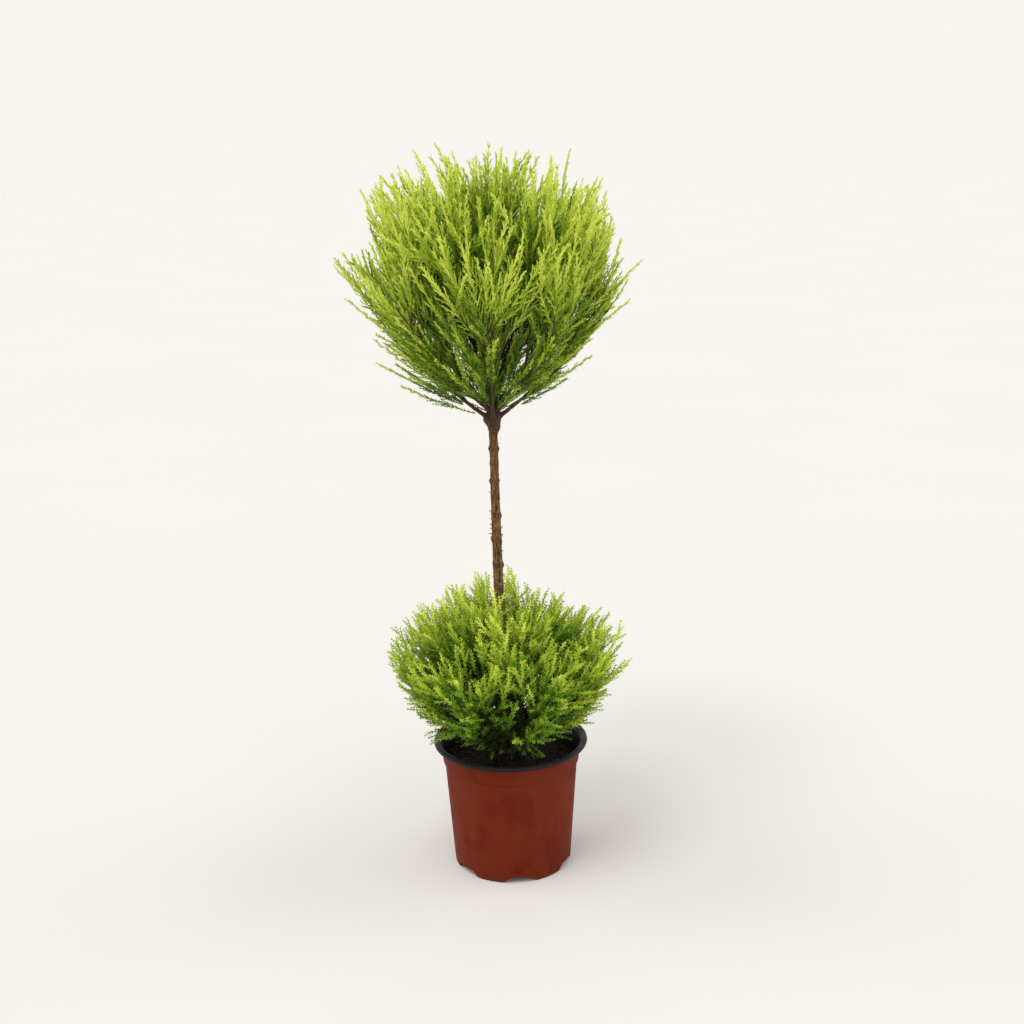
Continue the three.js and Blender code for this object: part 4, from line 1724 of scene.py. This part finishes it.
# Upright sprays up the leader
LEADER_SPRAYS = (
    (262, 524, 27, 88), (284, 534, 20, 94), (270, 548, 24, 96), (254, 562, 16, 100), (292, 570, 20, 98),
    (88, 530, 24, 92), (72, 552, 20, 96), (104, 566, 18, 98),
    (310, 520, 31, 88), (327, 530, 33, 92), (300, 544, 26, 96), (342, 519, 38, 84), (318, 556, 28, 96),
    (226, 522, 31, 88), (210, 532, 33, 92), (240, 542, 26, 96), (198, 520, 38, 84), (222, 556, 28, 96),
    (276, 516, 36, 78), (252, 515, 38, 76), (296, 514, 40, 76),
    (266, 532, 36, 84), (278, 545, 33, 88), (259, 556, 31, 90), (272, 570, 28, 92), (285, 582, 26, 92),
)
CLEARANCE = 0.3  # between the source's solids


@dataclass(frozen=True)
class TrunkSprays:
    """Sprays that leave the trunk itself, at the golden angle and at set places. Angles are degrees."""

    count: int
    first_azimuth: float
    height: float
    rise: float
    lean: Span
    length: Span  # at the steepest and at the lowest lean
    lift: float
    sparse: float
    seed: int
    lopsided: float = 0  # how much shorter they are to the right, as a share
    # painted light: how much lighter these sprays, which stand in the open, are tinted
    light: float = 0
    placed: tuple[tuple[float, float, float, float], ...] = ()

    def grow(self, trunk: Trunk) -> list[Plume]:
        """Grows the sprays at the golden angle up the trunk, and then the placed ones.

        Args:
            trunk: The trunk that they leave.

        Returns:
            The sprays.
        """
        random = Seeded(self.seed)
        low, high = self.lean
        plumes = []
        for index in range(self.count):
            azimuth = degrees(index * GOLDEN_ANGLE) + self.first_azimuth
            lean = random(low, high)
            length = lerp(*self.length, (lean - low) / (high - low)) * random(0.8, 1.1)
            length *= 1 - self.lopsided * cos(radians(azimuth))
            plumes.append(self.spray(trunk, azimuth, self.height + self.rise * random(0, 1), lean, length))
        plumes += [self.spray(trunk, *place) for place in self.placed]
        return plumes

    def spray(self, trunk: Trunk, azimuth: float, height: float, lean: float, length: float) -> Plume:
        """One spray.

        Args:
            trunk: The trunk that it leaves.
            azimuth: Degrees round the trunk, from the right towards the back.
            height: Where it leaves the trunk.
            lean: Degrees from upright.
            length: Its length.

        Returns:
            The spray.
        """
        side = heading(pi / 2, radians(azimuth))
        along = heading(radians(lean), radians(azimuth))
        root = trunk.centre(height) + side * trunk.radius(height) * 0.8
        return Plume(root, along, length, self.lift, self.sparse, self.light)


@dataclass(frozen=True)
class CrownPlan:
    """What a crown is grown from: its outline, its sprays on the trunk, its seed and its tints."""

    crown: Crown
    sprays: tuple[TrunkSprays, ...]
    seed: int
    tint_shares: tuple[float, ...]  # from dark to lime


WINGS = TrunkSprays(
    count=10, first_azimuth=190, height=507, rise=18, lean=(56, 71), length=(130, 92), lift=0.22, sparse=0.6,
    seed=311, lopsided=0.1, placed=WING_SPRAYS,
)
UPRIGHTS = TrunkSprays(
    count=18, first_azimuth=265, height=524, rise=96, lean=(14, 38), length=(104, 118), lift=0.22, sparse=1,
    seed=317, light=0.32, placed=LEADER_SPRAYS,
)
FORK = TrunkSprays(
    count=22, first_azimuth=230, height=510, rise=36, lean=(28, 58), length=(92, 66), lift=0.3, sparse=0.85,
    seed=337, lopsided=0.05, light=0.24,
)
LOWEST = TrunkSprays(
    count=14, first_azimuth=172, height=152, rise=18, lean=(58, 77), length=(134, 94), lift=0.06, sparse=0.9,
    seed=313, lopsided=-0.06, placed=LOW_SPRAYS,
)
CORE = TrunkSprays(
    count=34, first_azimuth=40, height=148, rise=70, lean=(25, 72), length=(62, 72), lift=0.3, sparse=1,
    seed=331,
)
CROWN_PLANS = (
    CrownPlan(HEAD, (WINGS, UPRIGHTS, FORK), seed=5, tint_shares=(0.05, 0.14, 0.27, 0.31, 0.23)),
    CrownPlan(SKIRT, (LOWEST, CORE), seed=6, tint_shares=(0.2, 0.24, 0.32, 0.21, 0.03)),
)


@dataclass
class Limbs:
    """Boughs that leave the trunk at its fork, and the plans of all masses beyond them."""

    trunk: Trunk
    room: Room
    sides: int = 14
    steps: int = 18
    boughs: list[tuple[str, Bend, float]] = field(default_factory=list)
    plans: list[Plan] = field(default_factory=list)

    def __post_init__(self) -> None:
        """Works out every bough and plan by the source's rule."""
        heights = self.trunk.heights()
        thick = [self.trunk.radius(height) for height in heights]
        radii = [max(pair) * (1 + self.trunk.lobe_depth) + 0.4 for pair in zip(thick, thick[1:])]
        self.room.add_limb(np.array([self.trunk.centre(height) for height in heights]), radii)
        for ring in RINGS:
            random = Seeded(ring.seed)
            for index in range(ring.count):
                self.plans.append(self.plan_of(ring, index, random))
        name, twigs, seed = LEADER_MASS
        start = self.trunk.centre(self.trunk.leader_top + 2 * CLEARANCE)
        self.plans.append(Plan(name, HEAD, twigs, seed, UP, HEAD.top_reach, start, UP))

    def plan_of(self, ring: Ring, index: int, random: Seeded) -> Plan:
        """The plan of one mass, and its bough where it has one.

        Args:
            ring: The ring that it is in.
            index: Its number in the ring.
            random: The ring's number stream.

        Returns:
            The plan.
        """
        azimuth = radians(ring.first_azimuth + 360 * index / ring.count)
        root = self.trunk.centre(ring.root_height + ring.root_step * (index % 2))
        lean = radians(ring.tip_lean + random(-1.5, 1.5))
        out = heading(lean, azimuth + random(-0.05, 0.05))
        reach = float(ring.crown.reach_at((ring.crown.centre + out)[None])[0]) * random(0.97, 1)
        start, start_heading = root, heading(radians(ring.bough_lean), azimuth)
        bend = None
        if ring.bough:
            bend = self.bough(ring, root, azimuth)
            self.boughs.append((f"{ring.bough}_{index + 1}", bend, ring.bough_radius))
            self.room.add_limb(bend.path(4), [ring.bough_radius + 0.4] * 4)
            start_heading = bend.tangent(1)
            start = bend.end + start_heading * CLEARANCE
        name = f"{ring.mass}_{index + 1}"
        return Plan(name, ring.crown, ring.twigs, ring.seed + index, out, reach, start, start_heading, bend)

    def bough(self, ring: Ring, root: Points, azimuth: float) -> Bend:
        """A bough that leaves the trunk and straightens up as it goes.

        Args:
            ring: The ring that it is in.
            root: Where it leaves the trunk's middle.
            azimuth: Radians round the trunk.

        Returns:
            The bough's path.
        """
        lean = radians(ring.bough_lean)
        middle = root + heading(lean * 1.12, azimuth) * ring.bough_length / 2
        return Bend(root, middle, middle + heading(lean * 0.94, azimuth) * ring.bough_length / 2)

    def build(self) -> Piece:
        """Builds the boughs as one mesh with a collar at each root and uneven bark.

        Returns:
            The boughs.
        """
        shapes, dark = [], []
        for number, (_, bend, radius) in enumerate(self.boughs):
            shares = np.linspace(0, 1, self.steps + 1)
            collar = 1.5 * np.exp(-((shares * bend.length() / 9) ** 2))
            points, faces = tube(bend.path(self.steps), radius * (1 - 0.38 * shares) + collar, self.sides)
            middles = np.repeat(bend.path(self.steps), self.sides, axis=0)
            for index, middle in enumerate(middles):
                place = Vector(points[index]) / 3.1 + Vector((number * 5.3, 0, 0))
                points[index] += (points[index] - middle) * 0.2 * noise.noise(place)
            shapes.append((points, faces))
            dark.append(np.repeat(0.6 * np.exp(-shares * 2.5), self.sides))
        piece = mesh_piece("boughs_bark", joined(shapes), smooth=True)
        set_attribute(piece, KNOT_AND_SHADE_LAYER, np.concatenate(dark))
        return piece

    def dress(self, piece: Piece) -> None:
        """Finishes the boughs."""
        hand_over(piece, [BOUGH_BARK.material()], [name for name, _, _ in self.boughs])


# Foliage


@dataclass(frozen=True)
class Cord:
    """One leafy cord of a spray."""

    root: Points
    along: Points
    towards: Points  # direction that it bends to
    length: float
    shade: float  # its freshness, with the painted light of a spray that stands in the open
    has_tip: bool  # whether it ends in a point
    is_loose: bool  # whether its spray stands out loose from the fan


@dataclass
class Foliage:
    """The needles and twigs of one crown, grown spray by spray and joined by tint."""

    crown: Crown
    masses: list[Mass]
    trunk_sprays: list[Plume]
    room: Room
    seed: int
    tint_shares: tuple[float, ...]
    template_lengths: tuple[float, ...] = (6, 9, 13, 18, 25, 34, 46)
    variants: int = 4
    shaft_length: float = 13
    last_cord: float = 0.96  # share of a spray at which its cords end
    widest: float = 0.3  # share at which it is widest
    piece_limit: int = 190_000

    def __post_init__(self) -> None:
        """Starts the crown's number stream, with no cords yet."""
        self.random = np.random.default_rng(self.seed)
        self.cords: list[Cord] = []
        self.columns: dict[str, Points] = {}
        self.library: dict[tuple[bool, bool], list[list[Shape]]] = {}

    def along_cords(self, share: float) -> Points:
        """The point at a share of the way along each cord."""
        return self.columns["root"] + self.columns["along"] * self.columns["length"][:, None] * share

    def grow_plume(self, plume: Plume) -> None:
        """Grows one spray, unless the crown is thin there.

        Args:
            plume: The spray.
        """
        random, crown = self.random, self.crown
        is_loose = plume.sparse < 1
        # Painted light: sprays that stand in the open get lighter tints through their light value
        fresh_and_painted_light = random.normal(0, crown.freshness) + plume.light
        sideways = branch_off(plume.along, pi / 2, random.uniform(0, 2 * pi))
        bend = UP * plume.lift * (1 - plume.along[2]) + sideways * random.uniform(0, 0.05)
        size = plume.length if is_loose else self.fitted(plume, bend)
        tip = plume.root + (plume.along + bend) * size
        if random.uniform() > crown.fullness((plume.root + tip) / 2) and not is_loose:
            return
        axis = Bend(plume.root, plume.root + plume.along * size / 2, tip)
        self.add_shaft(axis, size, fresh_and_painted_light, is_loose)
        self.add_cords(axis, size, fresh_and_painted_light, plume.sparse)

    def add_shaft(self, axis: Bend, size: float, fresh_and_painted_light: float, is_loose: bool) -> None:
        """Sets short cords end to end along a spray's axis.

        Args:
            axis: The axis.
            size: Length of the spray.
            fresh_and_painted_light: Its freshness, with the painted light of a spray that stands in the
                open.
            is_loose: Whether it stands out loose from the fan.
        """
        steps = max(2, round(size / self.shaft_length))
        for step in range(steps):
            start = axis.point(step / steps)
            run = axis.point((step + 1) / steps) - start
            share = (step + 0.5) / steps
            side = branch_off(unit(run), pi / 2, self.random.uniform(0, 6.28))
            length = float(norm(run))
            shade = fresh_and_painted_light + self.crown.tip_light * share
            self.cords.append(Cord(start, unit(run), side, length, shade, step == steps - 1, is_loose))

    def add_cords(self, axis: Bend, size: float, fresh_and_painted_light: float, sparse: float) -> None:
        """Sets the side cords of a spray, left and right in turn.

        Args:
            axis: The spray's axis.
            size: Length of the spray.
            fresh_and_painted_light: Its freshness, with the painted light of a spray that stands in the
                open.
            sparse: Share of its cords that it has.
        """
        random, crown = self.random, self.crown
        is_loose = sparse < 1
        count = max(4, round(size * 0.86 / crown.cord_pitch * sparse))
        longest = np.clip(size * crown.cord_share, *crown.cord_limits) * (0.7 if is_loose else 1.0)
        shortest = crown.cord_limits[0] * 0.8
        first_roll = random.uniform(0, 2 * pi)
        start = 0.3 if is_loose else 0.1
        for index in range(count):
            share = start + (self.last_cord - start) * (index + random.uniform(0.2, 0.8)) / count
            spread = radians(lerp(*crown.cord_spread, share) + random.normal(0, 4))
            tangent = axis.tangent(share)
            roll = first_roll + index * pi + random.normal(0, crown.cord_scatter)
            along = branch_off(tangent, spread, roll)
            length = max(longest * self.width_at(share) * random.uniform(0.78, 1.15), shortest)
            shade = fresh_and_painted_light + crown.tip_light * share + random.normal(0, 0.06)
            self.cords.append(Cord(axis.point(share), along, tangent, length, shade, True, is_loose))

    def width_at(self, share: float) -> float:
        """Width of a spray at a share of the way along, as a share of its widest."""
        narrowing = lerp(1.0, 0.24, (share - self.widest) / (self.last_cord - self.widest))
        return min(1.0, 0.62 + share * 1.3) if share < self.widest else narrowing

    def fitted(self, plume: Plume, bend: Points) -> float:
        """A spray's length, shortened until its tip is within the crown's outline.

        Args:
            plume: The spray.
            bend: How far its tip is bent, as a share of its length.

        Returns:
            The length.
        """
        size = plume.length
        for _ in range(9):
            tip = (plume.root + (plume.along + bend) * size)[None]
            if self.crown.depth_of(tip)[0] <= 1.01 * self.crown.outline_at(tip)[0]:
                break
            size *= 0.91
        return size

    def kept(self) -> Points:
        """Which cords stay: those within reach and clear of limbs, soil and pot.

        Returns:
            True or false for each cord.
        """
        tips, middles = self.along_cords(1), self.along_cords(0.5)
        clear = self.room.is_clear(tips, 1.0) & self.room.is_clear(middles, 0.4)
        within = self.crown.depth_of(tips) < 1.03 * self.crown.outline_at(tips)
        return clear & (within | self.columns["is_loose"])

    def tints(self, keep: Points) -> Points:
        """Number of the tint of each kept cord, dealt out by its freshness and by painted shade and light:
        darker inside the crown and low down, lighter at its outside, top and outer sides.

        Args:
            keep: Which cords stay.

        Returns:
            One tint number a kept cord.
        """
        crown = self.crown
        tips = self.along_cords(1)[keep]
        out = tips - crown.centre
        # Painted shade and light: cords deep inside the crown are tinted darker, and those at its outside,
        # its open foot, its top and its outer sides lighter
        light = 0.75 * crown.exposure_of(tips)
        light += crown.height_light * out[:, 2] / crown.top_reach
        light += crown.side_light * np.hypot(out[:, 0], out[:, 1]) / crown.side_reach
        score = self.columns["shade"][keep] + light
        # Painted light on the loose sprays
        score += crown.loose_light * self.columns["is_loose"][keep]
        bounds = np.quantile(score, np.cumsum(self.tint_shares)[:-1])
        return np.searchsorted(bounds, score)

    def sizes(self, has_tip: bool) -> tuple[float, ...]:
        """Lengths of the templates of pointed cords, or of stretches of an axis."""
        return self.template_lengths if has_tip else (self.shaft_length,)

    def templates(self, has_tip: bool, is_loose: bool) -> list[list[Shape]]:
        """Makes cords of each length, in several variants.

        Args:
            has_tip: Whether they are pointed cords or stretches of an axis.
            is_loose: Whether their sprays stand out loose from the fan.

        Returns:
            The variants of each length.
        """
        style = self.crown.loose_style if is_loose else self.crown.style
        sizes, variants = self.sizes(has_tip), range(self.variants)
        return [[style.template(size, has_tip, self.random) for _ in variants] for size in sizes]

    def placed(self, chosen: Points, has_tip: bool, is_loose: bool) -> list[Shape]:
        """Copies of the cord templates at the places of the chosen cords.

        Args:
            chosen: Numbers of the cords.
            has_tip: Whether they are pointed cords or stretches of an axis.
            is_loose: Whether their sprays stand out loose from the fan.

        Returns:
            One shape for each template used.
        """
        sizes = np.array(self.sizes(has_tip))
        library = self.library[has_tip, is_loose]
        lengths = self.columns["length"][chosen]
        nearest = np.abs(np.log(lengths[:, None] / sizes)).argmin(1)
        variant = chosen % self.variants
        shapes = []
        for size in range(len(sizes)):
            for number in range(self.variants):
                some = chosen[(nearest == size) & (variant == number)]
                if len(some):
                    shapes.append(self.copies(library[size][number], some, sizes[size]))
        return shapes

    def copies(self, template: Shape, chosen: Points, size: float) -> Shape:
        """One template set at the places of several cords.

        Args:
            template: Points and triangles of the template.
            chosen: Numbers of the cords.
            size: Length of the template.

        Returns:
            All copies as one shape.
        """
        points, faces = template
        x = self.columns["along"][chosen]
        towards = self.columns["towards"][chosen]
        z = towards - (towards * x).sum(1)[:, None] * x
        z /= np.maximum(norm(z, axis=1), 1e-6)[:, None]
        turn = np.stack([x, np.cross(z, x), z], 1)
        scale = (self.columns["length"][chosen] / size)[:, None, None]
        stretched = points[None] * np.concatenate([scale, scale**0.5, scale**0.5], 2)
        places = np.einsum("npk,nkj->npj", stretched, turn) + self.columns["root"][chosen][:, None]
        offsets = np.arange(len(chosen))[:, None, None] * len(points)
        return places.reshape(-1, 3), (faces[None] + offsets).reshape(-1, 3)

    def build(self) -> None:
        """Builds the twigs and the needles of each tint, and hands them over."""
        nodes = [mass.plan.name for mass in self.masses]
        self.build_twigs(nodes)
        for plume in [plume for mass in self.masses for plume in mass.plumes] + self.trunk_sprays:
            self.grow_plume(plume)
        names = [column.name for column in fields(Cord)]
        self.columns = {name: np.array([getattr(cord, name) for cord in self.cords]) for name in names}
        keep = self.kept()
        numbers = np.flatnonzero(keep)
        tints = self.tints(keep)
        pointed = self.columns["has_tip"][numbers]
        loose = self.columns["is_loose"][numbers]
        self.library = {kind: self.templates(*kind) for kind in product((True, False), repeat=2)}
        for index, tint in enumerate(Tint):
            shapes = []
            for has_tip, is_loose in self.library:
                chosen = (tints == index) & (pointed == has_tip) & (loose == is_loose)
                shapes += self.placed(numbers[chosen], has_tip, is_loose)
            material = tint.value.material()
            for part, shape in enumerate(self.portions(joined(shapes))):
                name = f"{self.crown.name}_needles_{tint.name.lower()}_{part + 1}"
                hand_over(mesh_piece(name, shape), [material], nodes)

    def portions(self, shape: Shape) -> list[Shape]:
        """A shape cut into as few parts as keep each under the limit of triangles.

        Args:
            shape: The shape.

        Returns:
            Its parts.
        """
        points, faces = shape
        count = ceil(len(faces) / self.piece_limit)
        parts = []
        for some in np.array_split(faces, count):
            used, places = np.unique(some, return_inverse=True)
            parts.append((points[used], places.reshape(-1, 3)))
        return parts

    def build_twigs(self, nodes: list[str]) -> None:
        """Builds the woody stems and twigs as one piece.

        Args:
            nodes: CAD nodes of the masses.
        """
        shapes = []
        for mass in self.masses:
            for bend, root_radius, tip_radius in mass.twigs:
                radii = np.linspace(root_radius, tip_radius, 9)
                shapes.append(tube(bend.path(8), radii, 6))
        piece = mesh_piece(f"{self.crown.name}_twigs", joined(shapes), smooth=True)
        set_attribute(piece, KNOT_AND_SHADE_LAYER, np.zeros(len(piece.data.vertices)))
        hand_over(piece, [TWIG_BARK.material()], nodes)


# Stage


@dataclass
class Studio:
    """Pale floor, soft light and a camera that looks a little down on the plant."""

    camera_place: tuple[float, float, float] = (6.6, -1473, 781)
    pitch: float = 14.42
    roll: float = -1.17
    focal: float = 1426  # pixels, in a frame of 1024
    sensor: float = 36
    frame_pixels: float = 1024
    floor_radius: float = 30  # metres

    def floor(self) -> None:
        """Lays the floor, a broad flat disc."""
        bpy.ops.mesh.primitive_circle_add(vertices=96, radius=self.floor_radius, fill_type="NGON")
        piece = bpy.context.object
        piece.name = "pale_floor"
        bpy.ops.object.mode_set(mode="EDIT")
        bpy.ops.mesh.select_all(action="SELECT")
        bpy.ops.mesh.inset(thickness=self.floor_radius * 0.6)
        bpy.ops.object.mode_set(mode="OBJECT")
        piece.data.materials.append(FLOOR.material())

    def lamp(self, name: str, place: tuple[float, float, float], power: float, softness: float) -> None:
        """Hangs a soft far lamp that lights the stage evenly.

        Args:
            name: Name of the lamp.
            place: Direction that it shines from.
            power: Watts on a square metre.
            softness: Degrees that it spans.
        """
        light = bpy.data.lights.new(name, "SUN")
        light.angle = radians(softness)
        light.energy = power
        lamp = bpy.data.objects.new(name, light)
        lamp.location = place
        lamp.rotation_euler = (-Vector(place)).to_track_quat("-Z", "Y").to_euler()
        bpy.context.scene.collection.objects.link(lamp)

    def light(self) -> None:
        """Sets the soft studio light and a true view of colours."""
        world = bpy.data.worlds.new("studio")
        world.use_nodes = True
        world.node_tree.nodes["Background"].inputs["Color"].default_value = srgb(253, 248, 243)
        world.node_tree.nodes["Background"].inputs["Strength"].default_value = 0.97
        bpy.context.scene.world = world
        bpy.context.scene.view_settings.view_transform = "Standard"
        self.lamp("key", (-1.0, -1.3, 2.9), 1.4, 28)
        self.lamp("fill", (1.5, -2.2, 1.2), 0.6, 60)
        self.lamp("rim_left", (-2.4, 0.4, 1.4), 1.05, 50)
        self.lamp("rim_right", (2.4, 0.4, 1.4), 0.85, 50)

    def camera(self) -> None:
        """Sets up the camera."""
        data = bpy.data.cameras.new("camera")
        data.sensor_width = self.sensor
        data.lens = self.focal * self.sensor / self.frame_pixels
        data.clip_end = 200
        camera = bpy.data.objects.new("camera", data)
        tilt = Matrix.Rotation(radians(90 - self.pitch), 4, "X")
        turn = tilt @ Matrix.Rotation(radians(self.roll), 4, "Z")
        camera.matrix_world = Matrix.Translation(Vector(self.camera_place) * MM) @ turn
        bpy.context.scene.collection.objects.link(camera)
        bpy.context.scene.camera = camera


def grown(crown_plan: CrownPlan, limbs: Limbs) -> Foliage:
    """Grows the masses of one crown and its sprays on the trunk.

    Args:
        crown_plan: What the crown is grown from.
        limbs: The limbs that it grows on.

    Returns:
        The crown's foliage, ready to build.
    """
    plans = [plan for plan in limbs.plans if plan.crown is crown_plan.crown]
    masses = []
    for plan in plans:
        others = np.array([other.heading for other in plans if other is not plan])
        mass = Mass(plan, others, limbs.room)
        mass.grow()
        masses.append(mass)
    LOG.info("%s: %d sprays", crown_plan.crown.name, sum(len(mass.plumes) for mass in masses))
    sprays = [plume for group in crown_plan.sprays for plume in group.grow(limbs.trunk)]
    return Foliage(crown_plan.crown, masses, sprays, limbs.room, crown_plan.seed, crown_plan.tint_shares)


def main() -> None:
    """Builds the plant and its pot piece by piece, and sets the stage."""
    logging.basicConfig(level=logging.INFO, format="%(name)s %(message)s")
    studio = Studio()
    studio.camera()
    studio.light()
    studio.floor()
    pot = Pot()
    pot.dress(pot.build())
    soil = Soil(pot)
    soil.dress(soil.build())
    trunk = Trunk(soil.top + CLEARANCE)
    trunk.dress(trunk.build())
    limbs = Limbs(trunk, Room(pot, soil))
    limbs.dress(limbs.build())
    for crown_plan in CROWN_PLANS:
        grown(crown_plan, limbs).build()


if __name__ == "__main__":
    main()
